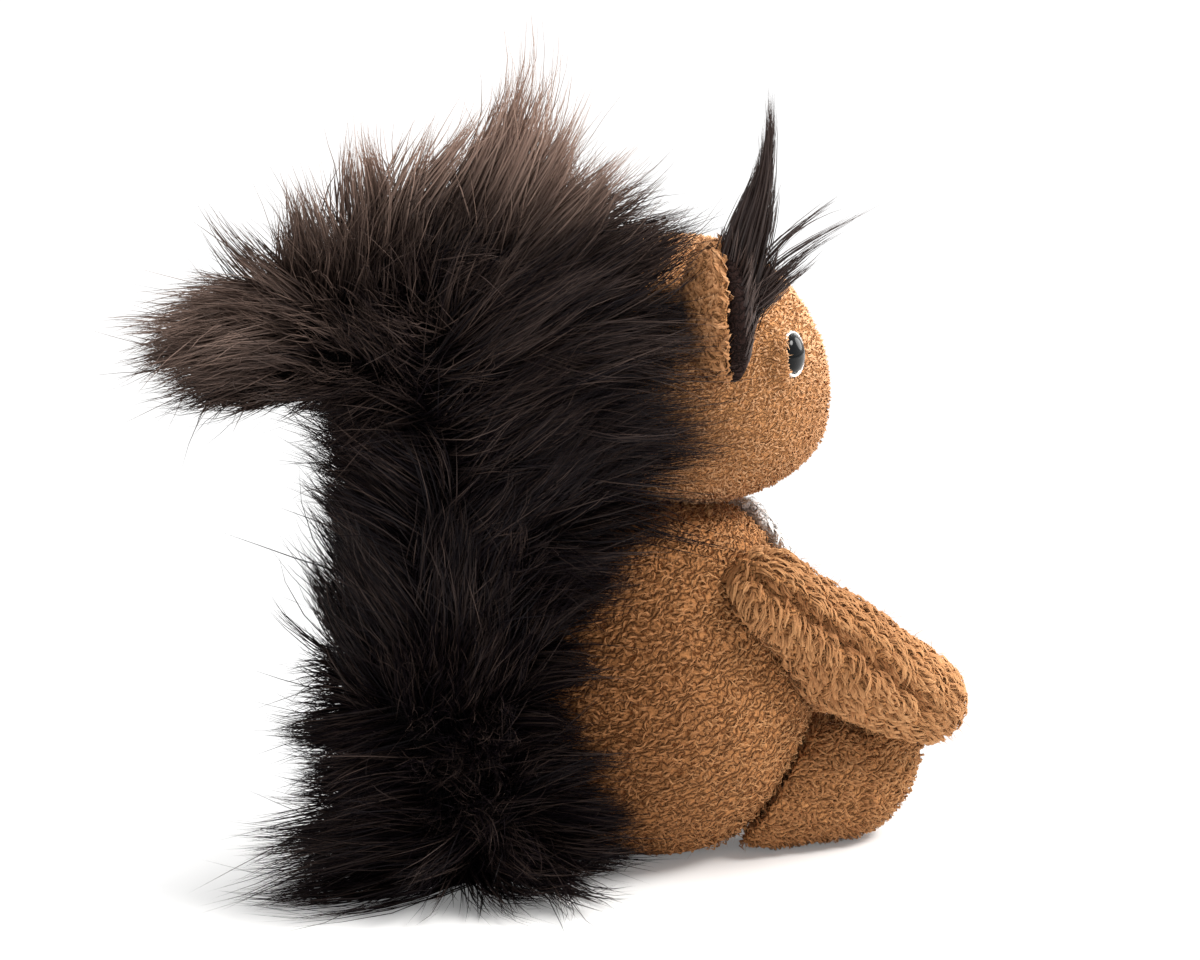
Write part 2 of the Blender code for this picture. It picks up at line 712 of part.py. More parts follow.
def make_mouth(head, nose, collection, cutters):
    """Return the thread that runs down from the nose."""
    top = NOSE_DROP + NOSE_HALF_HEIGHT / HEAD_HALF_HEIGHT
    span = MOUTH_LENGTH / HEAD_HALF_HEIGHT
    stations = []
    for step in range(7):
        direction = direction_from(0.0, -(top + span * step / 6))
        place = head_point(direction) + direction * (GAP + THREAD_RADIUS * 0.6)
        stations.append((place, THREAD_RADIUS))
    thread = tube("mouth_stitch", stations, 2, collection)
    return trimmed(thread, [head, nose], cutters)


def finish(obj, material, parent):
    """Give an object its material and smooth shading, and parent it."""
    obj.data.materials.clear()
    obj.data.materials.append(material)
    obj.data.shade_smooth()
    obj.data.set_sharp_from_angle(angle=math.radians(50))
    obj.parent = parent


def main():
    """Model the squirrel."""
    for old in list(bpy.data.objects):
        bpy.data.objects.remove(old)
    parts = new_collection(COLLECTION_NAME)
    cutters = new_collection(CUTTER_COLLECTION_NAME)
    tan_plush = new_material("tan_plush", (0.50, 0.27, 0.12), 0.95)
    face_plush = new_material("face_plush", (0.55, 0.31, 0.15), 0.95)
    white_plush = new_material("white_plush", (0.86, 0.83, 0.79), 0.95)
    dark_fur = new_material("dark_fur", (0.035, 0.024, 0.021), 0.80)
    eye_black = new_material("eye_black", (0.010, 0.009, 0.009), 0.08)
    eye_white = new_material("eye_white", (0.88, 0.88, 0.86), 0.35)
    washer_white = new_material("washer_white", (0.80, 0.80, 0.78), 0.50)
    thread_dark = new_material("thread_dark", (0.045, 0.028, 0.022), 0.70)

    torso = make_torso(parts)
    head = make_head(torso, parts, cutters)
    chest_panel = make_chest_panel(torso, head, parts, cutters)
    ear_right = make_ear(head, parts, cutters)
    lining_right = make_lining("ear_lining_right", UP_TUFT_LENGTH, ear_right, head, parts, cutters)
    leg_right = make_leg(torso, chest_panel, parts, cutters)
    arm_right = make_arm(torso, head, chest_panel, leg_right, parts, cutters)
    ear_left = mirrored(ear_right, "ear_left", parts)
    unmirrored = make_lining("lining_before", LEFT_UP_TUFT_LENGTH, ear_right, head, cutters, cutters)
    lining_left = mirrored(unmirrored, "ear_lining_left", parts)
    leg_left = mirrored(leg_right, "leg_left", parts)
    arm_left = mirrored(arm_right, "arm_left", parts)
    around_tail = [torso, head, ear_right, ear_left, lining_right, lining_left, arm_right, arm_left]
    tail = make_tail(around_tail, parts, cutters)
    nose = make_nose(head, parts, cutters)
    mouth = make_mouth(head, nose, parts, cutters)

    frame = bpy.data.objects.new("squirrel_frame", None)
    parts.objects.link(frame)
    for obj in (torso, leg_right, leg_left, arm_right, arm_left):
        finish(obj, tan_plush, frame)
    for obj in (head, ear_right, ear_left):
        finish(obj, face_plush, frame)
    for obj in (tail, lining_right, lining_left):
        finish(obj, dark_fur, frame)
    finish(chest_panel, white_plush, frame)
    finish(nose, thread_dark, frame)
    finish(mouth, thread_dark, frame)
    rim_top = -EYE_SINK + GAP + RIM_THICKNESS
    for side, word in ((1, "right"), (-1, "left")):
        finish(make_eye(side, "eye_" + word, parts), eye_black, frame)
        rim = make_disc(side, "eye_rim_" + word, RIM_RADIUS, rim_top, RIM_THICKNESS, parts)
        finish(rim, eye_white, frame)
        washer = make_disc(
            side, "eye_washer_" + word, WASHER_RADIUS, -WASHER_DEPTH, WASHER_THICKNESS, parts
        )
        finish(washer, washer_white, frame)
    for cutter in list(cutters.objects):
        bpy.data.objects.remove(cutter)


main()
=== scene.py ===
"""Looks of a seated plush squirrel: stuffed skins, curly pile, long tail hair, eyes and a white studio."""

import logging
import math
from dataclasses import dataclass, field
from enum import Enum
from functools import cache
from typing import Callable

import bmesh
import bpy
import numpy as np
from mathutils import Matrix, Vector


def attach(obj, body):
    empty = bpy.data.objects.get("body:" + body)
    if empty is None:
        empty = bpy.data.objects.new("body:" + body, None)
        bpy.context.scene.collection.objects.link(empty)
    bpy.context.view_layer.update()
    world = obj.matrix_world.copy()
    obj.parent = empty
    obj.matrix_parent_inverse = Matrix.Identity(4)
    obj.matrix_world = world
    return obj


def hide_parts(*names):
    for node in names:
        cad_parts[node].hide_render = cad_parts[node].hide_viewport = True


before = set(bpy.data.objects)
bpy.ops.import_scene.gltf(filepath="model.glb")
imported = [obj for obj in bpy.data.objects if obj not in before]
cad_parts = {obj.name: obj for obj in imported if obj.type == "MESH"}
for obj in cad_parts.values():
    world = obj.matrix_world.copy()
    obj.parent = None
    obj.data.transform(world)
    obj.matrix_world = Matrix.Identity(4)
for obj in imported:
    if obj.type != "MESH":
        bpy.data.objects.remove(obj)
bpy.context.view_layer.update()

MM = 0.001
BODY = "root"
PILE_MAP = "OFBake"
SHADES = 48
FIBRE_GAP = 0.0003
SKIN_GAP = 0.0004
Colour = tuple[float, float, float]
Spot = tuple[float, float, float]
Band = tuple[float, float]
LOG = logging.getLogger("squirrel")


class Side(Enum):
    """A side of the squirrel, as the sign of X."""

    RIGHT = -1
    LEFT = 1

    @property
    def word(self) -> str:
        """The side's name as it stands in the node names."""
        return self.name.lower()


def unit(vectors: np.ndarray) -> np.ndarray:
    """Scale vectors to length one.

    Args:
        vectors: An array whose last axis is X, Y, Z.

    Returns:
        The unit vectors.
    """
    return vectors / np.maximum(np.linalg.norm(vectors, axis=-1, keepdims=True), 1e-12)


def ease(values: np.ndarray | float, low: float, high: float) -> np.ndarray:
    """Rise smoothly from 0 at low to 1 at high.

    Args:
        values: Where to read the step.
        low: The value where it starts.
        high: The value where it ends.

    Returns:
        The smooth step at each value.
    """
    share = np.clip((np.asarray(values, dtype=float) - low) / (high - low), 0.0, 1.0)
    return share * share * (3.0 - 2.0 * share)


def drift(places: np.ndarray, wavelength: float, seed: int) -> np.ndarray:
    """Give a smooth wandering value for places, as pile that was brushed unevenly has.

    Args:
        places: Points in metres.
        wavelength: The size of the patches in metres.
        seed: Picks the pattern.

    Returns:
        Values of about -1 to 1.
    """
    waves, height = 7, 2.6
    chance = np.random.default_rng(seed)
    total = np.zeros(len(places))
    for _ in range(waves):
        wave = unit(chance.normal(size=3)) * math.tau / (wavelength * chance.uniform(0.6, 1.6))
        total += np.sin(places @ wave + chance.uniform(0, math.tau))
    return total / height


def smooth_line(points: np.ndarray, steps: int) -> np.ndarray:
    """Run a smooth line through points.

    Args:
        points: The points to pass through.
        steps: How many pieces each stretch gets.

    Returns:
        The line's points.
    """
    padded = np.vstack([2 * points[0] - points[1], points, 2 * points[-1] - points[-2]])
    share = (np.arange(steps) / steps)[:, None]
    line = []
    for before, start, end, after in zip(padded, padded[1:], padded[2:], padded[3:]):
        line.append(
            start
            + 0.5 * (end - before) * share
            + 0.5 * (2 * before - 5 * start + 4 * end - after) * share**2
            + 0.5 * (3 * start - before - 3 * end + after) * share**3
        )
    return np.vstack([*line, points[-1]])


def follow(guides: np.ndarray, share: np.ndarray) -> np.ndarray:
    """Read points along guides.

    Args:
        guides: One guide for each hair, as (hair, station, XYZ).
        share: How far along its guide each point of a hair is, 0 to 1, as (hair, point).

    Returns:
        The points, as (hair, point, XYZ).
    """
    last = guides.shape[1] - 1
    spots = share * last
    low = np.minimum(spots.astype(int), last - 1)
    rows = np.arange(len(share))[:, None]
    start = guides[rows, low]
    return start + (guides[rows, low + 1] - start) * (spots - low)[:, :, None]


def headings(lines: np.ndarray) -> np.ndarray:
    """Give the unit vector along each hair at each of its points.

    Args:
        lines: The hairs, as (hair, point, XYZ).

    Returns:
        The vectors, the last of a hair standing twice.
    """
    ahead = unit(lines[:, 1:] - lines[:, :-1])
    return np.concatenate([ahead, ahead[:, -1:]], 1)


def read_places(mesh: bpy.types.Mesh) -> np.ndarray:
    """Read a mesh's vertices.

    Args:
        mesh: The mesh.

    Returns:
        Their places, one row each.
    """
    places = np.empty(len(mesh.vertices) * 3, dtype=np.float32)
    mesh.vertices.foreach_get("co", places)
    return places.reshape(-1, 3).astype(float)


def write_places(mesh: bpy.types.Mesh, places: np.ndarray) -> None:
    """Move a mesh's vertices.

    Args:
        mesh: The mesh.
        places: Their new places, one row each.
    """
    mesh.vertices.foreach_set("co", places.astype(np.float32).ravel())
    mesh.update()


def choose(piece: bpy.types.Object) -> None:
    """Select one piece alone and make it active."""
    bpy.ops.object.select_all(action="DESELECT")
    piece.select_set(True)
    bpy.context.view_layer.objects.active = piece


def apply_modifiers(piece: bpy.types.Object) -> None:
    """Apply all modifiers of a piece in order."""
    choose(piece)
    for modifier in list(piece.modifiers):
        bpy.ops.object.modifier_apply(modifier=modifier.name)


def drop_maps(piece: bpy.types.Object) -> None:
    """Take away all UV maps of a piece."""
    while piece.data.uv_layers:
        piece.data.uv_layers.remove(piece.data.uv_layers[0])


def face_outward(piece: bpy.types.Object) -> None:
    """Turn all faces of a closed piece outward."""
    choose(piece)
    bpy.ops.object.mode_set(mode="EDIT")
    bpy.ops.mesh.select_all(action="SELECT")
    bpy.ops.mesh.normals_make_consistent(inside=False)
    bpy.ops.object.mode_set(mode="OBJECT")


def put_in_scene(name: str, data: bpy.types.ID) -> bpy.types.Object:
    """Add an object to the scene.

    Args:
        name: The object's name.
        data: Its mesh, curve, lamp or camera.

    Returns:
        The object.
    """
    added = bpy.data.objects.new(name, data)
    bpy.context.scene.collection.objects.link(added)
    return added


def ball(name: str, segments: int, rings: int) -> bpy.types.Object:
    """Add a ball of radius 1 m at the origin, with no UV map, to be shaped.

    Args:
        name: The piece's name.
        segments: Faces round it.
        rings: Faces from pole to pole.

    Returns:
        The piece.
    """
    bpy.ops.object.select_all(action="DESELECT")
    bpy.ops.mesh.primitive_uv_sphere_add(segments=segments, ring_count=rings, radius=1.0)
    piece = bpy.context.object
    piece.name = name
    drop_maps(piece)
    return piece


def tube_mesh(name: str, line: np.ndarray, radii: np.ndarray, resolution: int) -> bpy.types.Object:
    """Make a closed tube along a line.

    Args:
        name: The piece's name.
        line: Its middle line.
        radii: Its radius at each point.
        resolution: The curve's bevel resolution.

    Returns:
        The tube as a mesh.
    """
    curve = bpy.data.curves.new(name, "CURVE")
    curve.dimensions = "3D"
    curve.bevel_depth = 1.0
    curve.bevel_resolution = resolution
    curve.use_fill_caps = True
    spline = curve.splines.new("POLY")
    spline.points.add(len(line) - 1)
    for point, place, radius in zip(spline.points, line, radii):
        point.co = (*place, 1.0)
        point.radius = radius
    choose(put_in_scene(name, curve))
    bpy.ops.object.convert(target="MESH")
    return bpy.context.object


class Value:
    """A number socket that takes Python operators, each of which adds a Math node."""

    def __init__(self, shader: "Shader", socket: bpy.types.NodeSocket) -> None:
        """Wrap a socket of a shader."""
        self.shader = shader
        self.socket = socket

    def _maths(self, operation: str, first: "Value | float", second: "Value | float") -> "Value":
        """Add one Math node.

        Args:
            operation: The node's operation.
            first: Its first input.
            second: Its second input.

        Returns:
            The node's result.
        """
        node = self.shader.node("ShaderNodeMath", {"operation": operation}, {0: first, 1: second})
        return Value(self.shader, node.outputs[0])

    def __add__(self, other: "Value | float") -> "Value":
        """Add."""
        return self._maths("ADD", self, other)

    __radd__ = __add__

    def __sub__(self, other: "Value | float") -> "Value":
        """Subtract."""
        return self._maths("SUBTRACT", self, other)

    def __rsub__(self, other: float) -> "Value":
        """Subtract from a number."""
        return self._maths("SUBTRACT", other, self)

    def __mul__(self, other: "Value | float") -> "Value":
        """Multiply."""
        return self._maths("MULTIPLY", self, other)

    __rmul__ = __mul__

    def floor(self) -> "Value":
        """Round down."""
        return self._maths("FLOOR", self, 0.0)

    def sine(self) -> "Value":
        """Take the sine."""
        return self._maths("SINE", self, 0.0)

    def at_least(self, other: "Value | float") -> "Value":
        """Take the larger of two."""
        return self._maths("MAXIMUM", self, other)

    def at_most(self, other: "Value | float") -> "Value":
        """Take the smaller of two."""
        return self._maths("MINIMUM", self, other)

    def size(self) -> "Value":
        """Drop the sign."""
        return self.at_least(self * -1.0)


class Shader:
    """One material's nodes, around a Principled surface."""

    def __init__(self, name: str, roughness: float, specular: float = 0.5) -> None:
        """Start a material with its plain values."""
        self.material = bpy.data.materials.new(name)
        self.material.use_nodes = True
        self.tree = self.material.node_tree
        self.surface = self.tree.nodes["Principled BSDF"]
        self.output = self.tree.nodes["Material Output"]
        self.set("Roughness", roughness)
        self.set("Specular IOR Level", specular)

    def set(self, socket: str, value: object) -> None:
        """Set one of the surface's sockets to a number, a colour or a link."""
        self._fill(self.surface.inputs[socket], value)

    def _fill(self, socket: bpy.types.NodeSocket, value: object) -> None:
        """Set or link one socket."""
        if isinstance(value, Value):
            value = value.socket
        if isinstance(value, bpy.types.NodeSocket):
            self.tree.links.new(value, socket)
        elif isinstance(value, tuple) and len(value) == 3 and socket.type == "RGBA":
            socket.default_value = (*value, 1.0)
        else:
            socket.default_value = value

    def node(self, kind: str, settings: dict | None = None, inputs: dict | None = None) -> bpy.types.Node:
        """Add a node.

        Args:
            kind: The node's type.
            settings: Its settings; "stops" is a list of (place, colour) for a ramp.
            inputs: Values or links for its sockets, by name or number.

        Returns:
            The node.
        """
        node = self.tree.nodes.new(kind)
        for key, value in (settings or {}).items():
            if key == "stops":
                ramp = node.color_ramp
                while len(ramp.elements) < len(value):
                    ramp.elements.new(0.5)
                for element, (place, colour) in zip(ramp.elements, value):
                    element.position = place
                    element.color = (*colour, 1.0)
            else:
                setattr(node, key, value)
        for key, value in (inputs or {}).items():
            self._fill(node.inputs[key], value)
        return node

    def mixed(self, share: "Value | float", first: object, second: object) -> bpy.types.NodeSocket:
        """Mix two colours.

        Args:
            share: How much of the second there is.
            first: The first colour.
            second: The second colour.

        Returns:
            The mixed colour.
        """
        return self.node("ShaderNodeMix", {"data_type": "RGBA"}, {0: share, 6: first, 7: second}).outputs[2]

    def axes(self) -> tuple[Value, ...]:
        """Read a place on the piece as its X, Y and Z."""
        place = self.node("ShaderNodeTexCoord").outputs["Object"]
        split = self.node("ShaderNodeSeparateXYZ", {}, {0: place})
        return tuple(Value(self, output) for output in split.outputs)

    def noise(self, scale: float, detail: float = 3.0, stretch: Colour = (1.0, 1.0, 1.0)) -> Value:
        """Read noise at a place on the piece.

        Args:
            scale: Patches to a metre.
            detail: Levels of finer noise.
            stretch: Scale along X, Y and Z.

        Returns:
            The noise, about 0.5 on average.
        """
        place = self.node("ShaderNodeTexCoord").outputs["Object"]
        place = self.node("ShaderNodeMapping", {}, {"Vector": place, "Scale": Vector(stretch)}).outputs[0]
        node = self.node("ShaderNodeTexNoise", {}, {"Vector": place, "Scale": scale, "Detail": detail})
        return Value(self, node.outputs[0])

    def crinkle(self, period: float, slant: float) -> Value:
        """Read a pattern of small wavy clumps with sharp creases between them.

        Args:
            period: The distance from crease to crease, in metres.
            slant: How far the creases climb toward the front.

        Returns:
            The height, 0 in a crease and 1 on a clump.
        """
        x, y, z = self.axes()
        wander = self.noise(0.26 / period, 2.0) - 0.5
        crumple = self.noise(0.80 / period, 2.0) - 0.5
        break_gap = period * 1.9
        rows = ((z + y * slant) * (math.pi / period) + wander * 15.0 + crumple * 8.0).sine().size()
        breaks = ((y - z * slant + x) * (math.pi / break_gap) + wander * 11.0 - crumple * 10.0).sine().size()
        return rows.at_most(breaks * 1.6 + 0.15).at_most(1.0)

    def bump(self, height: Value, strength: float, distance: float) -> None:
        """Give the surface a bump."""
        node = self.node("ShaderNodeBump", {}, {"Strength": strength, "Distance": distance, "Height": height})
        self.set("Normal", node.outputs[0])


@dataclass(frozen=True)
class PileFinish:
    """Fibres whose colour runs from root to tip, between a dark and a light batch.

    Attributes:
        name: The material's name.
        dark_root: The dark batch's colour at the root.
        dark_tip: The dark batch's colour at the tip.
        light_root: The light batch's colour at the root.
        light_tip: The light batch's colour at the tip.
        roughness: How matt a fibre is.
        specular: How strongly a fibre shines.
        sheen: The soft light at grazing angles.
        sheen_tint: The sheen's colour.
        streaks: How strongly single fibres show across a lock.
        edges: How much painted shade darkens a lock at its edges.
        turn: Where along a fibre the colour is more than halfway to the tip's.
    """

    name: str
    dark_root: Colour
    dark_tip: Colour
    light_root: Colour
    light_tip: Colour
    roughness: float = 0.75
    specular: float = 0.25
    sheen: float = 0.0
    sheen_tint: Colour = (1.0, 0.82, 0.62)
    streaks: float = 0.0
    edges: float = 0.0
    turn: float = 0.45

    @cache
    def material(self) -> bpy.types.Material:
        """Build the material, which reads the shade across the pile map and the place along it."""
        shader = Shader(self.name, self.roughness, self.specular)
        place = shader.node("ShaderNodeUVMap", {"uv_map": PILE_MAP}).outputs[0]
        split = shader.node("ShaderNodeSeparateXYZ", {}, {0: place})
        across, along = Value(shader, split.outputs[0]), Value(shader, split.outputs[1])
        shade = (across * SHADES).floor() * (1.0 / (SHADES - 1))
        dark = self._ramp(shader, along, self.dark_root, self.dark_tip)
        light = self._ramp(shader, along, self.light_root, self.light_tip)
        if self.streaks:
            streaks_across = 3.2
            inside = across * SHADES - (across * SHADES).floor() - 0.5
            streak = (inside * math.tau * streaks_across).sine() * self.streaks
            # Painted shade: each lock darkens toward its edges, where the gaps between locks are shaded.
            shade = (shade + streak - inside * inside * self.edges).at_least(0.0).at_most(1.0)
        shader.set("Base Color", shader.mixed(shade, dark, light))
        if self.sheen:
            shader.set("Sheen Weight", self.sheen)
            shader.set("Sheen Roughness", 0.4)
            shader.set("Sheen Tint", (*self.sheen_tint, 1.0))
        return shader.material

    def _ramp(self, shader: Shader, along: Value, root: Colour, tip: Colour) -> bpy.types.NodeSocket:
        """Make the ramp of one batch.

        Args:
            shader: The material's shader.
            along: The place along a fibre.
            root: The colour at the root.
            tip: The colour at the tip.

        Returns:
            The batch's colour.
        """
        part_way = 0.62
        middle = tuple(low + (high - low) * part_way for low, high in zip(root, tip))
        stops = [(0.0, root), (self.turn, middle), (1.0, tip)]
        return shader.node("ShaderNodeValToRGB", {"stops": stops}, {0: along}).outputs[0]


@dataclass(frozen=True)
class BackingFinish:
    """The dense low pile on the cloth, in clumps with painted shade in the creases each period, and, where
    rear is set, with the tail's shadow painted darker at the rear.
    """

    name: str
    colour: Colour
    shadow: Colour
    period: float = 1.7 * MM
    slant: float = 0.45
    # rear is the share of the tail's painted shadow on the rear of the cloth.
    rear: float = 0.0

    @cache
    def material(self) -> bpy.types.Material:
        """Build the material."""
        patches, faded, rear_start, rear_rise = 110.0, 1.3, 0.012, 26.0
        shader = Shader(self.name, 0.92, 0.12)
        height = shader.crinkle(self.period, self.slant)
        fibre = shader.noise(0.9 / self.period, 3.0, (1.0, 1.0, 2.4))
        worn = tuple(min(1.0, part * faded) for part in self.colour)
        light = shader.mixed(shader.noise(patches, 2.0), self.colour, worn)
        # Painted shade: the creases between the clumps take the shadow colour.
        shade = (height * 1.9).at_most(1.0) * (fibre * 1.1 + 0.36).at_most(1.0)
        # Painted shadow of the tail: the cloth darkens toward the rear.
        if self.rear:
            behind = ((shader.axes()[1] + rear_start) * rear_rise).at_least(0.0).at_most(1.0)
            shade = shade * (behind * -self.rear + 1.0)
        shader.set("Base Color", shader.mixed(shade, self.shadow, light))
        shader.bump(height + fibre * 0.5, 0.95, 0.6 * self.period)
        return shader.material


@dataclass(frozen=True)
class GlossFinish:
    """A polished or moulded plastic."""

    name: str
    colour: Colour
    roughness: float
    specular: float = 0.5

    @cache
    def material(self) -> bpy.types.Material:
        """Build the material, with the faint unevenness of a handled surface."""
        shader = Shader(self.name, self.roughness, self.specular)
        marks = shader.noise(420.0, 2.0)
        handled = tuple(min(1.0, part * 0.94 + 0.0015) for part in self.colour)
        shader.set("Base Color", shader.mixed(marks, self.colour, handled))
        shader.set("Roughness", marks * 0.05 + (self.roughness - 0.02))
        return shader.material


@dataclass(frozen=True)
class ThreadFinish:
    """Embroidery thread, laid in satin stitches."""

    name: str
    colour: Colour
    shine: Colour

    @cache
    def material(self) -> bpy.types.Material:
        """Build the material with its twist."""
        strands_per_metre, twist_depth = 2600.0, 0.0004
        shader = Shader(self.name, 0.5, 0.45)
        strands = shader.noise(strands_per_metre, 1.0, (1.0, 0.25, 0.12))
        shader.set("Base Color", shader.mixed(strands, self.colour, self.shine))
        shader.bump(strands, 0.6, twist_depth)
        return shader.material


Finish = PileFinish | BackingFinish | GlossFinish | ThreadFinish

TAN_PILE = PileFinish(
    "tan_pile", (0.230, 0.090, 0.029), (0.36, 0.158, 0.057), (0.34, 0.150, 0.055), (0.66, 0.350, 0.152),
    sheen=0.06, streaks=0.10, edges=0.9,
)
FACE_PILE = PileFinish(
    "face_pile", (0.30, 0.128, 0.046), (0.42, 0.190, 0.072), (0.40, 0.182, 0.070), (0.84, 0.500, 0.270),
    sheen=0.08, streaks=0.10, edges=0.5,
)
WHITE_PILE = PileFinish(
    "white_pile", (0.80, 0.77, 0.75), (0.90, 0.88, 0.86), (0.86, 0.84, 0.82), (0.96, 0.95, 0.94),
    sheen=0.1, sheen_tint=(1.0, 1.0, 1.0),
)
# The tail hair's light batch is the colour of painted light, used on the crown and the curl.
DARK_HAIR = PileFinish(
    "dark_hair", (0.0014, 0.0007, 0.0012), (0.0048, 0.0026, 0.0040), (0.018, 0.0105, 0.0092),
    (0.520, 0.352, 0.280), roughness=0.50, specular=0.10,
)
EAR_HAIR = PileFinish(
    "ear_hair", (0.008, 0.0042, 0.0040), (0.018, 0.0100, 0.0095), (0.032, 0.017, 0.014),
    (0.150, 0.098, 0.080), roughness=0.48, specular=0.28,
)
TAN_BACKING = BackingFinish("tan_backing", (0.45, 0.207, 0.080), (0.085, 0.022, 0.003), 2.1 * MM)
# The torso's backing has the tail's shadow painted on its rear.
TORSO_BACKING = BackingFinish("torso_backing", (0.44, 0.198, 0.075), (0.085, 0.022, 0.003), 2.1 * MM,
                              slant=0.5, rear=0.55)
FACE_BACKING = BackingFinish("face_backing", (0.46, 0.218, 0.088), (0.17, 0.060, 0.017), 1.15 * MM, 0.2)
WHITE_BACKING = BackingFinish("white_backing", (0.88, 0.86, 0.84), (0.60, 0.56, 0.53))
DARK_BACKING = BackingFinish("dark_backing", (0.003, 0.0019, 0.0023), (0.0015, 0.0009, 0.0011))
LINING_BACKING = BackingFinish("lining_backing", (0.026, 0.014, 0.012), (0.013, 0.007, 0.006))
EYE_BLACK = GlossFinish("eye_black", (0.003, 0.0035, 0.004), 0.10, 0.12)
EYE_WHITE = GlossFinish("eye_white", (0.88, 0.88, 0.86), 0.30)
WASHER_PLASTIC = GlossFinish("washer_plastic", (0.80, 0.80, 0.78), 0.50)
DARK_THREAD = ThreadFinish("dark_thread", (0.030, 0.018, 0.014), (0.070, 0.045, 0.036))


@dataclass
class Skin:
    """The triangles of a finished skin, which pile grows from."""

    corners: np.ndarray
    normals: np.ndarray

    @classmethod
    def of(cls, piece: bpy.types.Object) -> "Skin":
        """Read a piece.

        Args:
            piece: A mesh object at the origin.

        Returns:
            Its triangles and their corner normals.
        """
        mesh = piece.data
        mesh.calc_loop_triangles()
        index = np.empty(len(mesh.loop_triangles) * 3, dtype=np.int32)
        mesh.loop_triangles.foreach_get("vertices", index)
        normals = np.empty(len(mesh.vertices) * 3, dtype=np.float32)
        mesh.vertex_normals.foreach_get("vector", normals)
        index = index.reshape(-1, 3)
        return cls(read_places(mesh)[index], normals.reshape(-1, 3)[index].astype(float))

    def scatter(self, count: int, seed: int) -> tuple[np.ndarray, np.ndarray]:
        """Spread roots evenly over the skin.

        Args:
            count: How many.
            seed: Picks the pattern.

        Returns:
            The roots' places and normals.
        """
        chance = np.random.default_rng(seed)
        edge_a = self.corners[:, 1] - self.corners[:, 0]
        edge_b = self.corners[:, 2] - self.corners[:, 0]
        areas = np.cumsum(np.linalg.norm(np.cross(edge_a, edge_b), axis=1))
        picks = (np.arange(count) + chance.uniform(0, 1, count)) / count * areas[-1]
        triangles = np.minimum(np.searchsorted(areas, picks), len(areas) - 1)
        first, second = chance.uniform(0, 1, (2, count))
        fold = first + second > 1
        first[fold], second[fold] = 1 - first[fold], 1 - second[fold]
        weights = np.stack([1 - first - second, first, second], 1)[:, :, None]
        places = (self.corners[triangles] * weights).sum(1)
        normals = unit((self.normals[triangles] * weights).sum(1))
        return places, normals


class Fibres:
    """A mesh of pile or hair: each fibre is a narrow ribbon that ends in a point."""

    def __init__(self, name: str) -> None:
        """Start an empty mesh."""
        self.name = name
        self.places: list[np.ndarray] = []
        self.faces: list[np.ndarray] = []
        self.maps: list[np.ndarray] = []
        self.used = 0

    def add(self, lines: np.ndarray, sides: np.ndarray, widths: np.ndarray, shades: np.ndarray,
            ridge: np.ndarray | None = None) -> None:
        """Add fibres along lines.

        Args:
            lines: The middle of each fibre, as (fibre, station, XYZ).
            sides: The unit vector across each fibre, as (fibre, station, XYZ).
            widths: The width at each station but the last, which is the point, in metres.
            shades: The shade of each fibre, 0 to 1.
            ridge: How far the middle stands over the edges, as (fibre, station, XYZ), for a folded ribbon.
        """
        margin, span, first, length = 0.12, 0.76, 0.01, 0.98
        count, stations, _ = lines.shape
        body = stations - 1
        reach = sides[:, :body] * (widths * 0.5)[None, :, None]
        columns = [lines[:, :body] - reach, lines[:, :body] + reach]
        if ridge is not None:
            columns.insert(1, lines[:, :body] + ridge[:, :body])
        wide = len(columns)
        grid = np.stack(columns, 2).reshape(count, body * wide, 3)
        places = np.concatenate([grid, lines[:, -1:]], 1)
        places[:, :, 2] = np.maximum(places[:, :, 2], FIBRE_GAP)
        size = body * wide + 1
        cell = np.minimum((np.clip(shades, 0, 1) * SHADES).astype(int), SHADES - 1)
        spots = (np.arange(wide) / (wide - 1) * span + margin)[None, :]
        across = (cell[:, None] + spots) / SHADES
        share = np.arange(stations) / (stations - 1) * length + first
        pattern = []
        for strip in range(wide - 1):
            for row in range(body - 1):
                low = row * wide + strip
                pattern.append((low, low + 1, low + wide + 1, low + wide))
        quads = np.array(pattern, dtype=np.int64).reshape(-1, 4)
        last_row = (body - 1) * wide
        tips = np.array([(last_row + strip, last_row + strip + 1, size - 1) for strip in range(wide - 1)])
        vertex_across = np.concatenate([np.tile(across, (1, body)), across.mean(1, keepdims=True)], 1)
        vertex_along = np.concatenate([np.repeat(share[:body], wide), share[-1:]])
        vertex_map = np.stack([vertex_across, np.broadcast_to(vertex_along, vertex_across.shape)], 2)
        base = self.used + np.arange(count)[:, None, None] * size
        for cells in (quads, tips):
            if len(cells):
                self.faces.append((cells[None] + base).reshape(-1, cells.shape[1]))
                self.maps.append(vertex_map[:, cells].reshape(-1, cells.shape[1], 2))
        self.places.append(places.reshape(-1, 3))
        self.used += count * size

    def build(self) -> bpy.types.Object:
        """Make the piece, at the origin."""
        mesh = bpy.data.meshes.new(self.name)
        places = np.vstack(self.places).astype(np.float32)
        sizes = np.concatenate([np.full(len(block), block.shape[1]) for block in self.faces])
        corners = np.concatenate([block.ravel() for block in self.faces]).astype(np.int32)
        spots = np.concatenate([block.reshape(-1, 2) for block in self.maps]).astype(np.float32)
        mesh.vertices.add(len(places))
        mesh.vertices.foreach_set("co", places.ravel())
        mesh.loops.add(len(corners))
        mesh.loops.foreach_set("vertex_index", corners)
        mesh.polygons.add(len(sizes))
        mesh.polygons.foreach_set("loop_start", (np.cumsum(sizes) - sizes).astype(np.int32))
        layer = mesh.uv_layers.new(name=PILE_MAP)
        layer.data.foreach_set("uv", spots.ravel())
        mesh.polygons.foreach_set("use_smooth", np.ones(len(sizes), dtype=bool))
        mesh.update(calc_edges=True)
        mesh.validate()
        return put_in_scene(self.name, mesh)


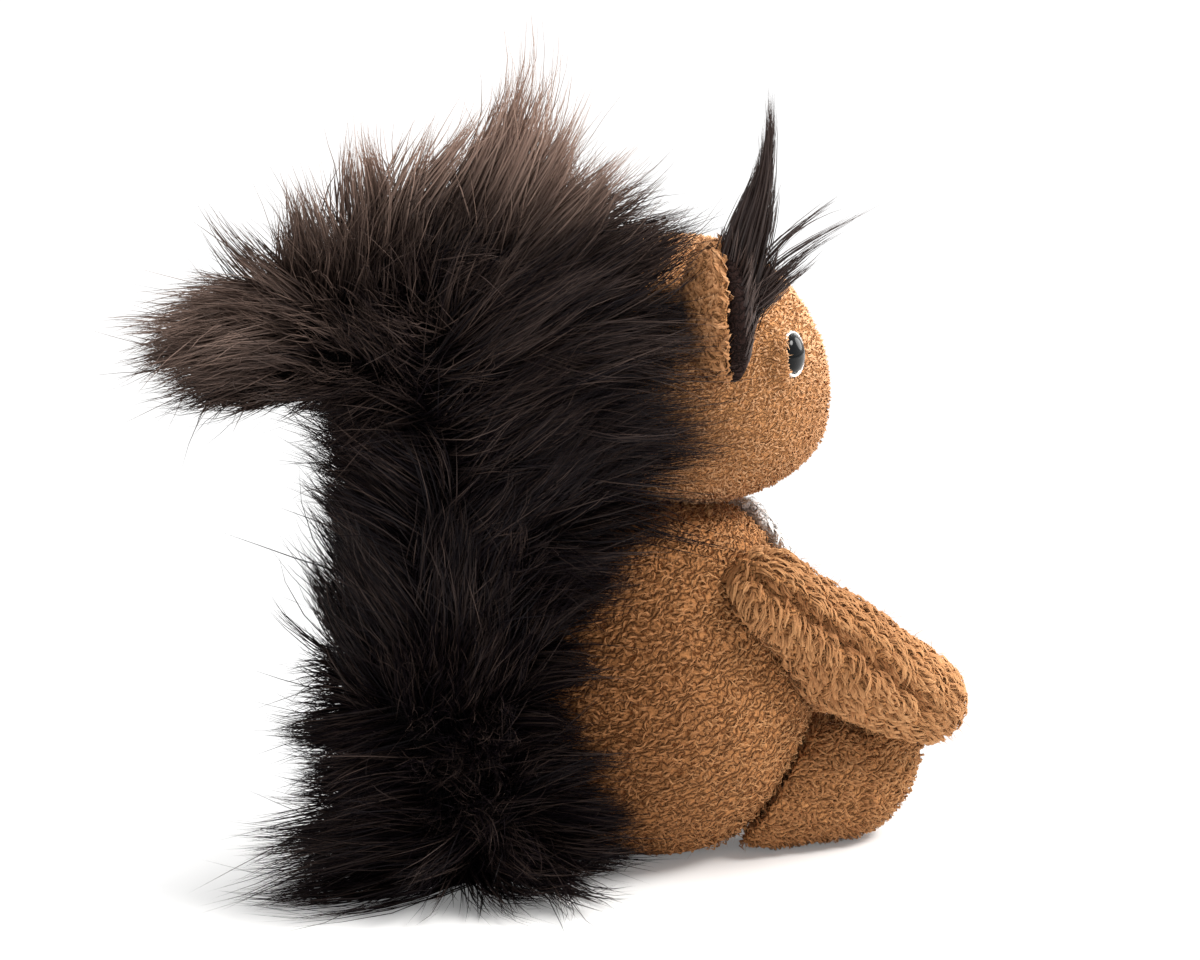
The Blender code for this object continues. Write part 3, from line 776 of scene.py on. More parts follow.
class Cut(Enum):
    """How long a lock is cut, as the share of the way, the arch and the width at its stations."""

    SHORT = ((0.0, 0.5, 1.0), (0.0, 1.0, 0.3), (0.8, 1.0))
    LONG = ((0.0, 0.36, 0.70, 1.0), (0.0, 1.0, 0.92, 0.28), (0.75, 1.0, 0.78))


@dataclass
class Pile:
    """Short curly pile, as tufts of small wavy locks that lie over each other.

    Attributes:
        length: A lock's length.
        width: A lock's width.
        rise: How high a lock arches over the skin.
        curl: How far a lock waves to the sides.
        radius: The radius of the skin that the locks lie round.
        stray: How far the locks turn from the lay, in radians.
        ridge: How far a lock's middle stands over its edges.
        swirl: The size of the patches that turn together.
        cut: The shape along a lock.
        strands: How many locks grow from one root.
        tuft: How far the locks of a root stand apart.
        shaded: How much painted shade darkens the locks at a tuft's edge.
    """

    length: float
    width: float
    rise: float
    curl: float
    radius: float
    stray: float = 0.5
    ridge: float = 0.35 * MM
    swirl: float = 18.0 * MM
    cut: Cut = Cut.LONG
    strands: int = 1
    tuft: float = 1.0 * MM
    shaded: float = 0.22

    def grow(self, fibres: Fibres, places: np.ndarray, normals: np.ndarray, lay: np.ndarray,
             shades: np.ndarray, seed: int) -> None:
        """Grow tufts from roots.

        Args:
            fibres: The mesh that takes them.
            places: The roots.
            normals: The skin's normals there.
            lay: The way the pile lies at each root.
            shades: The shade of each tuft.
            seed: Picks the pattern.
        """
        sunk = 0.25 * MM
        chance = np.random.default_rng(seed)
        count = len(places)
        lay = unit(lay - (lay * normals).sum(1, keepdims=True) * normals)
        side = np.cross(normals, lay)
        turn = drift(places, self.swirl, seed) * self.stray + chance.normal(0, self.stray * 0.45, count)
        ahead = lay * np.cos(turn)[:, None] + side * np.sin(turn)[:, None]
        across = np.cross(normals, ahead)
        length = self.length * chance.uniform(0.65, 1.25, count)
        lift = self.rise * chance.uniform(0.6, 1.4, count)
        phase = chance.uniform(0, math.tau, count)
        tufts = (places, normals, ahead, across, length, lift, phase, shades)
        places, normals, ahead, across, length, lift, phase, shades = (
            np.repeat(item, self.strands, axis=0) for item in tufts
        )
        count = len(places)
        aside = chance.normal(0, 0.5, (count, 2)) if self.strands > 1 else np.zeros((count, 2))
        crest = np.clip(1.0 - aside[:, 0] ** 2, 0, 1)
        # Painted shade: locks at a tuft's edge are darker, so the tufts look round.
        shades = shades - self.shaded * (1 - crest) + chance.normal(0, 0.05, count)
        share, arch, widths = (np.array(row) for row in self.cut.value)
        run = (length * chance.uniform(0.82, 1.08, count))[:, None] * share
        height = (lift * (0.6 + 0.5 * crest))[:, None] * arch - run**2 / (2 * self.radius)
        wave = self.curl * np.sin(share * math.tau * 0.8 + phase[:, None]) * (0.2 + 1.1 * share**0.5)
        wave = wave + self.tuft * aside[:, :1] * (1 - 0.70 * share)
        run = run + self.tuft * aside[:, 1:]
        lines = (
            places[:, None]
            + ahead[:, None] * run[:, :, None]
            + normals[:, None] * (height - sunk)[:, :, None]
            + across[:, None] * wave[:, :, None]
        )
        roll = chance.normal(0, 0.35, count)[:, None]
        flat = unit(across * np.cos(roll) + normals * np.sin(roll))
        sides = np.repeat(flat[:, None], len(share), 1)
        ridge = normals[:, None] * self.ridge * (1.0 - (2 * share - 1) ** 2 * 0.5)[None, :, None]
        fibres.add(lines, sides, self.width * widths, shades, ridge)

    def fuzz(self, fibres: Fibres, places: np.ndarray, normals: np.ndarray, lay: np.ndarray,
             shades: np.ndarray, seed: int) -> None:
        """Grow loose single hairs that stand off the locks.

        Args:
            fibres: The mesh that takes them.
            places: The roots.
            normals: The skin's normals there.
            lay: The way the pile lies at each root.
            shades: The shade of each hair.
            seed: Picks the pattern.
        """
        widths = np.array([0.20, 0.15]) * MM
        chance = np.random.default_rng(seed)
        count = len(places)
        lay = unit(lay - (lay * normals).sum(1, keepdims=True) * normals)
        scatter = chance.normal(0, 0.55, (count, 3))
        start = unit(lay * 0.7 + normals * 0.8 + scatter)
        bend = unit(lay + chance.normal(0, 0.5, (count, 3))) * 0.5
        length = self.length * chance.uniform(0.5, 1.1, count)
        share = np.array([0.0, 0.45, 1.0])[None, :, None]
        run = length[:, None, None] * share
        lines = places[:, None] + start[:, None] * run + bend[:, None] * run * share
        lines -= normals[:, None] * (run**2 / (2 * self.radius) * 0.4)
        sides = np.repeat(unit(np.cross(start, normals + scatter))[:, None], 3, 1)
        fibres.add(lines, sides, widths, shades)


@dataclass(frozen=True)
class Stuffing:
    """Fills a sewn skin, so that it swells as a stuffed toy does.

    Attributes:
        voxel: The fineness of the cloth.
        limit: How far a point of the skin may swell.
        pressure: How hard it is stuffed.
        frames: How many steps the filling takes.
    """

    voxel: float
    limit: float
    pressure: float = 4.0
    frames: int = 16

    def from_node(self, node: str, name: str, inset: float) -> bpy.types.Object:
        """Stuff a skin with the shape of a CAD node.

        Args:
            node: The node's name.
            name: The new piece's name.
            inset: How much smaller the skin starts.

        Returns:
            The stuffed piece.
        """
        weld = 0.00001
        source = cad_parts[node]
        bm = bmesh.new()
        bm.from_mesh(source.data)
        bm.transform(source.matrix_world)
        bmesh.ops.remove_doubles(bm, verts=bm.verts, dist=weld)
        bm.normal_update()
        for vert in bm.verts:
            vert.co -= vert.normal * inset
        mesh = bpy.data.meshes.new(name)
        bm.to_mesh(mesh)
        bm.free()
        return self.fill(put_in_scene(name, mesh))

    def fill(self, piece: bpy.types.Object) -> bpy.types.Object:
        """Remesh a closed skin, let pressure swell it, and smooth it.

        Args:
            piece: The skin.

        Returns:
            The same piece, stuffed.
        """
        remesh = piece.modifiers.new("Remesh", "REMESH")
        remesh.mode = "VOXEL"
        remesh.voxel_size = self.voxel
        apply_modifiers(piece)
        self._swell(piece)
        relax = piece.modifiers.new("Relax", "SMOOTH")
        relax.factor = 0.5
        relax.iterations = 3
        smooth = piece.modifiers.new("Smooth", "SUBSURF")
        smooth.levels = smooth.render_levels = 1
        apply_modifiers(piece)
        piece.data.shade_smooth()
        return piece

    def _swell(self, piece: bpy.types.Object) -> None:
        """Run the cloth with pressure and keep the swollen shape."""
        before = read_places(piece.data)
        cloth = piece.modifiers.new("Cloth", "CLOTH")
        cloth.settings.use_pressure = True
        cloth.settings.uniform_pressure_force = self.pressure
        cloth.settings.tension_stiffness = 25
        cloth.settings.effector_weights.gravity = 0.0
        cloth.collision_settings.use_collision = False
        cloth.point_cache.frame_start = 1
        cloth.point_cache.frame_end = self.frames
        scene = bpy.context.scene
        for frame in range(1, self.frames + 1):
            scene.frame_set(frame)
        shown = piece.evaluated_get(bpy.context.evaluated_depsgraph_get())
        after = read_places(shown.data)
        piece.modifiers.clear()
        scene.frame_set(1)
        moved = after - before
        far = np.linalg.norm(moved, axis=1, keepdims=True)
        moved *= np.minimum(1.0, self.limit / np.maximum(far, 1e-9))
        result = before + np.nan_to_num(moved)
        result[:, 2] = np.maximum(result[:, 2], SKIN_GAP)
        write_places(piece.data, result)


class Fitter:
    """Gives finished pieces their finish, parents them to the body, hides the nodes that they replace, and
    counts their triangles.
    """

    total = 0

    @staticmethod
    def fit(piece: bpy.types.Object, finish: Finish, slot: str, replaces: str | None = None,
            fill: float | None = None) -> None:
        """Give a piece its finish and let it ride on the body.

        Args:
            piece: The piece.
            finish: Its finish.
            slot: The record's material slot; it is not used.
            replaces: The CAD node that it stands for.
            fill: How firmly it is stuffed, if it is; it is not used.
        """
        piece.data.materials.clear()
        piece.data.materials.append(finish.material())
        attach(piece, BODY)
        if replaces:
            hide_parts(replaces)
        piece.data.calc_loop_triangles()
        Fitter.total += len(piece.data.loop_triangles)
        LOG.info("%s: %d triangles, %d in all", piece.name, len(piece.data.loop_triangles), Fitter.total)


def pick_lay(places: np.ndarray, vector: Spot) -> np.ndarray:
    """Give every root the same lay.

    Args:
        places: The roots.
        vector: The direction.

    Returns:
        One vector for each root.
    """
    return np.tile(np.array(vector, dtype=float), (len(places), 1))


def pile_shades(places: np.ndarray, seed: int, middle: float = 0.52) -> np.ndarray:
    """Vary the shade of pile in patches and from lock to lock.

    Args:
        places: The roots.
        seed: Picks the pattern.
        middle: The middle shade.

    Returns:
        Shades from 0 to 1.
    """
    patch_size, patchy, mixed = 26 * MM, 0.08, 0.10
    chance = np.random.default_rng(seed)
    wander = patchy * drift(places, patch_size, seed) + chance.normal(0, mixed, len(places))
    return np.clip(middle + wander, 0, 1)


def cover(name: str, skin: bpy.types.Object, pile: Pile, lay: Callable[[np.ndarray, np.ndarray], np.ndarray],
          locks: int, hairs: int, seed: int, finish: PileFinish, slot: str, middle: float = 0.52,
          keep: Callable[[np.ndarray, np.ndarray], np.ndarray] | None = None,
          tone: Callable[[np.ndarray], np.ndarray] | None = None) -> None:
    """Cover a skin with locks and loose hairs.

    Args:
        name: The new piece's name.
        skin: The skin that it grows from.
        pile: The kind of pile.
        lay: Gives the lay for roots and normals.
        locks: How many locks.
        hairs: How many loose hairs.
        seed: Picks the pattern.
        finish: The pile's finish.
        slot: The record's material slot.
        middle: The middle shade.
        keep: Says which roots stay, if not all.
        tone: Gives what is added to the shade at each root; the pieces paint light and shade with it, and
            lighten some places.
    """
    fibres = Fibres(name)
    source = Skin.of(skin)
    for count, loose in ((locks // pile.strands, False), (hairs, True)):
        seed += 3
        places, normals = source.scatter(count, seed)
        if keep is not None:
            chosen = keep(places, normals)
            places, normals = places[chosen], normals[chosen]
        shades = pile_shades(places, seed + 1, middle)
        if tone is not None:
            shades = shades + tone(places)
        grow = pile.fuzz if loose else pile.grow
        grow(fibres, places, normals, lay(places, normals), shades, seed + 2)
    Fitter.fit(fibres.build(), finish, slot)


@dataclass
class Torso:
    """The body: a stuffed pear with a white patch on the chest."""

    inset: float = 1.0 * MM
    patch_inset: float = -0.8 * MM
    underside: float = -0.86
    locks: int = 11000
    hairs: int = 4200
    patch_locks: int = 3000
    patch_hairs: int = 700
    pile: Pile = field(default_factory=lambda: Pile(
        length=2.5 * MM, width=0.46 * MM, rise=1.05 * MM, curl=0.35 * MM, radius=43 * MM, stray=0.65,
        ridge=0.24 * MM, swirl=6 * MM, cut=Cut.SHORT, strands=2, tuft=0.42 * MM, shaded=0.08))
    patch_pile: Pile = field(default_factory=lambda: Pile(
        length=4.2 * MM, width=0.9 * MM, rise=0.7 * MM, curl=0.3 * MM, radius=45 * MM, stray=0.4,
        ridge=0.12 * MM, cut=Cut.SHORT, strands=3, tuft=1.0 * MM, shaded=0.0))

    def _lay(self, places: np.ndarray, normals: np.ndarray) -> np.ndarray:
        """Say how the pile lies: toward the back, and steeper down in front and most at the chest.

        Args:
            places: The roots.
            normals: The skin's normals there.

        Returns:
            The lay at each root.
        """
        front = ease(-places[:, 1], 0.004, 0.032)
        chest = ease(places[:, 2], 0.045, 0.080)
        down = 0.22 + 0.75 * front + 1.1 * chest * front
        backward = 1.0 - 0.75 * chest * front
        return np.stack([np.zeros(len(places)), backward, -down], 1)

    def build(self) -> None:
        """Make the torso, its pile and the white patch."""
        skin = Stuffing(voxel=4.0 * MM, limit=1.6 * MM).from_node("torso", "torso_skin", self.inset)
        Fitter.fit(skin, TORSO_BACKING, "tan_plush", "torso", 0.85)
        cover("torso_pile", skin, self.pile, self._lay, self.locks, self.hairs, 5, TAN_PILE, "tan_plush",
              middle=0.46, keep=lambda places, normals: normals[:, 2] > self.underside, tone=self._tone)
        self._patch()

    @staticmethod
    def _tone(places: np.ndarray) -> np.ndarray:
        """Paint the tail's shadow on the pile toward the tail, and lighten the pile low in front."""
        front = ease(-places[:, 1], -0.004, 0.030)
        low = ease(-places[:, 2], -0.055, -0.020)
        # Painted shadow of the tail on the pile at the rear.
        rear = ease(places[:, 1], -0.010, 0.028)
        return 0.16 * front * low - 0.50 * rear

    def _patch(self) -> None:
        """Make the white chest patch."""
        filling = Stuffing(voxel=1.6 * MM, limit=0.5 * MM)
        patch = filling.from_node("chest_panel", "chest_skin", self.patch_inset)
        Fitter.fit(patch, WHITE_BACKING, "white_plush", "chest_panel", 0.5)
        cover("chest_pile", patch, self.patch_pile,
              lambda places, normals: pick_lay(places, (0.0, 0.1, -1.0)),
              self.patch_locks, self.patch_hairs, 61, WHITE_PILE, "white_plush",
              middle=0.9, keep=lambda places, normals: normals[:, 1] < 0.05)


@dataclass
class Head:
    """The head: a ball with a low muzzle, sunken eyes, a nose and a mouth."""

    centre: Spot = (0.0, -0.009, 0.1295)
    half_sizes: Spot = (0.0385, 0.0375, 0.0375)
    skin_size: float = 0.972
    bulge: float = 0.0050
    spread: float = 0.22
    drop: float = math.radians(16)
    nose_drop: float = math.radians(8)
    mouth_span: Band = (math.radians(13), math.radians(27))
    eye_turn: float = math.radians(67)
    eye_rise: float = math.radians(11)
    axis_turn: float = math.radians(60)
    axis_rise: float = math.radians(8)
    eye_reach: float = 0.012
    sunk: float = 2.0 * MM
    jowl: float = 5.5 * MM
    locks: int = 15000
    hairs: int = 5000
    pile: Pile = field(default_factory=lambda: Pile(
        length=1.7 * MM, width=0.44 * MM, rise=0.75 * MM, curl=0.22 * MM, radius=37 * MM, stray=1.1,
        ridge=0.30 * MM, swirl=7 * MM, cut=Cut.SHORT, strands=2, tuft=0.40 * MM, shaded=0.08))

    @staticmethod
    def toward(turn: float, rise: float, side: Side = Side.RIGHT) -> np.ndarray:
        """Give a direction.

        Args:
            turn: Angle from straight ahead.
            rise: Angle above the level.
            side: The side that it turns to.

        Returns:
            A unit vector.
        """
        level = math.cos(rise)
        return np.array([side.value * math.sin(turn) * level, -math.cos(turn) * level, math.sin(rise)])

    def _surface(self, directions: np.ndarray) -> np.ndarray:
        """Give the points of the plain head in some directions.

        Args:
            directions: Unit vectors from the head's middle.

        Returns:
            Points of the head's plain shape.
        """
        muzzle = self.toward(0.0, -self.drop)
        off = 1.0 - directions @ muzzle
        bulge = self.bulge * np.exp(-((off / self.spread) ** 2))
        return np.array(self.centre) + directions * np.array(self.half_sizes) + bulge[:, None] * muzzle

    def _surface_at(self, turn: float, rise: float, side: Side = Side.RIGHT) -> np.ndarray:
        """Give the point of the plain head at an angle round and an angle up."""
        return self._surface(self.toward(turn, rise, side)[None])[0]

    def _jowled(self, directions: np.ndarray) -> np.ndarray:
        """Give the skin's points with the stuffing sunk a little, so that the cheeks hang full and low.

        Args:
            directions: Unit vectors from the head's middle.

        Returns:
            Points of the stuffed skin.
        """
        middle, thickness = -0.66, 0.36
        points = self._surface(directions)
        points[:, 2] -= self.sunk * np.clip(directions[:, 2], 0, 1)
        low = np.exp(-(((directions[:, 2] - middle) / thickness) ** 2)) * ease(-directions[:, 1], -0.25, 0.50)
        outward = directions * np.array([0.75, 1.0, 0.55])
        return points + self.jowl * low[:, None] * outward

    def eye_frame(self, side: Side) -> Matrix:
        """Give the placement of an eye, with Z pointing out.

        Args:
            side: The side of the head.

        Returns:
            The placement.
        """
        place = self._surface_at(self.eye_turn, self.eye_rise, side)
        axis = Vector(self.toward(self.axis_turn, self.axis_rise, side))
        return Matrix.Translation(Vector(place)) @ axis.to_track_quat("Z", "Y").to_matrix().to_4x4()

    def _round_eye(self, places: np.ndarray,
                   side: Side) -> tuple[np.ndarray, np.ndarray, np.ndarray, np.ndarray]:
        """Measure places from an eye.

        Args:
            places: Points of the skin.
            side: The side of the head.

        Returns:
            Depth along the eye's axis, radius, unit vectors away from the axis, and the axis.
        """
        frame = np.array(self.eye_frame(side))
        offset = places - frame[:3, 3]
        depth = offset @ frame[:3, 2]
        flat = offset - depth[:, None] * frame[:3, 2]
        return depth, np.linalg.norm(flat, axis=1), unit(flat), frame[:3, 2]

    def _socket(self, places: np.ndarray) -> np.ndarray:
        """Press the skin in round the eyes and fold a lid behind them.

        Args:
            places: The skin's points.

        Returns:
            The moved points.
        """
        lid_radius, lid_width, lid_height, lid_behind = 0.0070, 0.0022, 0.0004, 0.0040
        floor_edge, wall_edge, floor_depth = 0.0050, 0.0082, 0.0026
        rearward = np.array([0.0, 0.98, 0.1])
        for side in Side:
            depth, radius, away, axis = self._round_eye(places, side)
            behind = np.clip(away @ rearward, 0, 1)
            near = (np.abs(depth) < self.eye_reach)[:, None]
            sink = (1.0 - ease(radius, floor_edge, wall_edge)) * (depth + floor_depth)
            lid = np.exp(-(((radius - lid_radius) / lid_width) ** 2)) * (lid_height + lid_behind * behind)
            places = places + near * axis * (lid - np.maximum(sink, 0.0))[:, None]
        return places

    def build(self) -> None:
        """Make the head, its pile, eyes, nose and mouth."""
        skin = ball("head_skin", 64, 44)
        centre = np.array(self.centre)
        points = self._jowled(unit(read_places(skin.data)))
        write_places(skin.data, centre + (points - centre) * self.skin_size)
        Stuffing(voxel=3.4 * MM, limit=1.0 * MM).fill(skin)
        finer = skin.modifiers.new("Finer", "SUBSURF")
        finer.levels = finer.render_levels = 1
        apply_modifiers(skin)
        write_places(skin.data, self._socket(read_places(skin.data)))
        skin.data.shade_smooth()
        Fitter.fit(skin, FACE_BACKING, "face_plush", "head", 0.85)
        cover("head_pile", skin, self.pile, self._lay, self.locks, self.hairs, 15, FACE_PILE, "face_plush",
              middle=0.44, keep=self._grows, tone=self._tone)
        for side in Side:
            self._eye(side)
        self._nose()
        self._mouth()

    def _lay(self, places: np.ndarray, normals: np.ndarray) -> np.ndarray:
        """Say how the nap lies: back and down, and over the rear edge of each eye.

        Args:
            places: The roots.
            normals: The skin's normals there.

        Returns:
            The lay at each root.
        """
        lid_edge = 0.0092
        lay = pick_lay(places, (0.0, 1.0, -0.45))
        for side in Side:
            depth, radius, away, _ = self._round_eye(places, side)
            near = (radius < lid_edge) & (np.abs(depth) < self.eye_reach)
            lay[near] = -away[near] * 2.0
        return lay

    @staticmethod
    def _tone(places: np.ndarray) -> np.ndarray:
        """Paint light on the forehead and the crown of the head."""
        return 0.60 * ease(places[:, 2], 0.118, 0.142) * ease(-places[:, 1], -0.010, 0.040)

    def _grows(self, places: np.ndarray, normals: np.ndarray) -> np.ndarray:
        """Say where the nap grows: not under the eyes, the neck or the nose.

        Args:
            places: The roots.
            normals: The skin's normals there.

        Returns:
            True where it grows.
        """
        neck, bare_eye, bare_ahead, bare_reach, bare_nose = 0.0935, 0.0050, 0.0020, 0.015, 0.0040
        forward = np.array([0.0, -1.0, 0.0])
        keep = places[:, 2] > neck
        for side in Side:
            depth, radius, away, _ = self._round_eye(places, side)
            ahead = np.clip(away @ forward, 0, 1)
            keep &= (radius > bare_eye + bare_ahead * ahead) | (np.abs(depth) > bare_reach)
        nose = self._surface_at(0.0, -self.nose_drop)
        return keep & (np.linalg.norm(places - nose, axis=1) > bare_nose)

    def _turned(self, name: str, side: Side, outline: list[Band], finish: Finish,
                node: str, slot: str) -> None:
        """Turn a round plastic piece and set it in its socket.

        Args:
            name: The piece's name.
            side: The side of the head.
            outline: (radius, height) points from the middle of the face outward and down.
            finish: Its finish.
            node: The CAD node that it replaces.
            slot: The record's material slot.
        """
        bpy.ops.object.select_all(action="DESELECT")
        radius, height = outline[0]
        bpy.ops.mesh.primitive_circle_add(
            vertices=56, radius=radius, fill_type="NGON", location=(0, 0, height)
        )
        piece = bpy.context.object
        piece.name = name
        bpy.ops.object.transform_apply(location=True, rotation=True, scale=True)
        bpy.ops.object.mode_set(mode="EDIT")
        bpy.ops.mesh.select_all(action="SELECT")
        bpy.ops.mesh.region_to_loop()
        for next_radius, next_height in outline[1:]:
            bpy.ops.mesh.extrude_edges_move(
                TRANSFORM_OT_translate={"value": (0, 0, next_height - height), "orient_type": "GLOBAL"}
            )
            grow = next_radius / radius
            bpy.ops.transform.resize(value=(grow, grow, 1.0), center_override=(0, 0, next_height))
            radius, height = next_radius, next_height
        bpy.ops.mesh.edge_face_add()
        bpy.ops.object.mode_set(mode="OBJECT")
        face_outward(piece)
        piece.data.transform(self.eye_frame(side))
        drop_maps(piece)
        bpy.ops.object.shade_smooth_by_angle(angle=math.radians(40))
        Fitter.fit(piece, finish, slot, node)

    def _eye(self, side: Side) -> None:
        """Make one domed eye on its white disc."""
        base, dome, radius, shank, shank_end = -0.90 * MM, 2.4 * MM, 5.0 * MM, 1.6 * MM, -13.0 * MM
        angles = [math.radians(angle) for angle in (4, 12, 22, 32, 42, 52, 62, 72, 81, 90)]
        outline = [(radius * math.sin(angle), base + dome * math.cos(angle)) for angle in angles]
        outline += [(radius, base - 0.15 * MM), (shank, base - 0.25 * MM), (shank, shank_end)]
        self._turned(f"eye_dome_{side.word}", side, outline, EYE_BLACK, f"eye_{side.word}", "eye_black")
        top = -1.20 * MM
        lip = [(1.0, 0.0), (5.05, 0.0), (5.30, 0.45), (5.55, 0.75), (5.85, 0.66), (6.0, 0.3), (6.0, -0.8)]
        rim = [(out * MM, top + up * MM) for out, up in lip]
        self._turned(f"eye_disc_{side.word}", side, rim, EYE_WHITE, f"eye_rim_{side.word}", "eye_white")

    def _nose(self) -> None:
        """Make the nose as a padded form of satin stitches."""
        half_sizes, sunk = np.array([4.7, 3.0, 3.3]) * MM, np.array([0.0, -0.4 * MM, 0.0])
        stitches_across, stitch_depth, narrowed = 46.0, 0.035, 0.28
        nose = ball("nose_stitches", 48, 24)
        spots = read_places(nose.data)
        wide = 1.0 - narrowed * np.clip(-spots[:, 2], 0, 1)
        stitches = 1.0 + stitch_depth * np.sin(spots[:, 0] * stitches_across)
        spots = spots * half_sizes * np.stack([wide, stitches, stitches], 1)
        write_places(nose.data, spots + self._surface_at(0.0, -self.nose_drop) + sunk)
        nose.data.shade_smooth()
        Fitter.fit(nose, DARK_THREAD, "thread_dark", "nose")

    def _mouth(self) -> None:
        """Make the mouth's thread, which runs down from the nose and lies on the pile."""
        stations, radius, lift = 9, 0.6 * MM, 1.2 * MM
        angles = np.linspace(*self.mouth_span, stations)
        points = np.array([self._surface_at(0.0, -angle) for angle in angles])
        outward = np.array([self.toward(0.0, -angle) for angle in angles])
        thread = tube_mesh("mouth_thread", points + outward * lift, np.full(stations, radius), 3)
        thread.data.shade_smooth()
        Fitter.fit(thread, DARK_THREAD, "thread_dark", "mouth_stitch")


@dataclass
class Limb:
    """An arm or a leg. Its own class says how it is pressed, combed and shaded."""

    side: Side
    node: str
    locks: int
    hairs: int
    seed: int
    shade: float
    pile: Pile
    inset: float = 0.5 * MM

    def press(self, places: np.ndarray) -> np.ndarray:
        """Move the stuffed skin's points."""
        raise NotImplementedError

    def lay(self, places: np.ndarray, normals: np.ndarray) -> np.ndarray:
        """Say how the pile lies at each root."""
        raise NotImplementedError

    def tone(self, places: np.ndarray) -> np.ndarray:
        """Say what is added to the shade at each root, painted light and painted shade among it."""
        raise NotImplementedError

    def build(self) -> None:
        """Make the limb and its pile."""
        node = f"{self.node}_{self.side.word}"
        skin = Stuffing(voxel=3.0 * MM, limit=1.0 * MM).from_node(node, f"{node}_skin", self.inset)
        write_places(skin.data, self.press(read_places(skin.data)))
        Fitter.fit(skin, TAN_BACKING, "tan_plush", node, 0.8)
        cover(f"{node}_pile", skin, self.pile, self.lay, self.locks, self.hairs, self.seed + self.side.value,
              TAN_PILE, "tan_plush", self.shade, tone=self.tone)


@dataclass
class Arm(Limb):
    """An arm, which reaches forward and down, with a seam along its outer side."""

    node: str = "arm"
    locks: int = 5600
    hairs: int = 1300
    seed: int = 101
    shade: float = 0.48
    pile: Pile = field(default_factory=lambda: Pile(
        length=5.4 * MM, width=0.60 * MM, rise=1.25 * MM, curl=0.42 * MM, radius=15 * MM, stray=0.30,
        ridge=0.32 * MM, swirl=11 * MM, strands=4, tuft=0.85 * MM, shaded=0.16))
    shoulder: Spot = (0.035, -0.016, 0.0740)
    paw: Spot = (0.034, -0.0645, 0.0385)
    seam_drop: float = 0.0022
    seam_wave: float = 0.0007
    crease_depth: float = 3.4 * MM
    shoulder_depth: float = 3.2 * MM
    hang: float = 2.2 * MM

    def _spots(self, places: np.ndarray) -> tuple[np.ndarray, np.ndarray, np.ndarray, np.ndarray]:
        """Measure places along the arm.

        Args:
            places: Points near the arm.

        Returns:
            The share of the way to the paw, the height over the seam, the way ahead and the way up.
        """
        mirror = np.array([self.side.value, 1.0, 1.0])
        shoulder = np.tile(np.array(self.shoulder) * mirror, (len(places), 1))
        paw = np.array(self.paw) * mirror
        ahead = unit(paw - shoulder)
        upward = unit(np.array([0.0, 0.0, 1.0]) - ahead[:, 2:] * ahead)
        offset = places - shoulder
        share = np.clip((offset * ahead).sum(1) / np.linalg.norm(paw - shoulder, axis=1), 0, 1)
        seam = -self.seam_drop * share + self.seam_wave * np.sin(places[:, 1] * 700.0)
        return share, (offset * upward).sum(1) - seam, ahead, upward

    def lay(self, places: np.ndarray, normals: np.ndarray) -> np.ndarray:
        """Say how the pile lies: toward the paw, and down to the seam along the outer side and on below it.

        Args:
            places: The roots.
            normals: The skin's normals there.

        Returns:
            The lay at each root.
        """
        share, over, ahead, upward = self._spots(places)
        above = ease(over, -0.0012, 0.0022)[:, None]
        upper = ahead * 0.90 - upward * 0.38
        lower = ahead * (0.30 + 0.75 * share)[:, None] - upward * (0.75 - 0.75 * share)[:, None]
        return upper * above + lower * (1 - above)

    def tone(self, places: np.ndarray) -> np.ndarray:
        """Paint shade into the crease along the seam, paint light on the upper side, and lighten the pile
        toward the paw.
        """
        middle, width = 0.0004, 0.0017
        share, over, _, _ = self._spots(places)
        # Painted shade in the seam's crease.
        crease = np.exp(-(((over - middle) / width) ** 2)) * (1 - 0.7 * ease(share, 0.75, 1.0))
        return 0.34 * ease(share, 0.3, 1.0) + 0.10 * ease(over, 0.0, 0.006) - 0.90 * crease

    def press(self, places: np.ndarray) -> np.ndarray:
        """Flatten the top of the shoulder, press the seam in and let the middle hang fuller."""
        hang_middle, hang_width, crease_width = 0.45, 0.25, 0.0020
        share, over, _, upward = self._spots(places)
        top = ease(over, 0.0, 0.010) * (1 - ease(share, 0.10, 0.45))
        under = ease(-over, 0.004, 0.014) * np.exp(-(((share - hang_middle) / hang_width) ** 2))
        crease = np.exp(-((over / crease_width) ** 2)) * (1 - 0.7 * ease(share, 0.70, 1.0))
        inward = np.array([-self.side.value, 0.0, 0.0]) * self.crease_depth * crease[:, None]
        return places + inward - upward * (self.shoulder_depth * top + self.hang * under)[:, None]


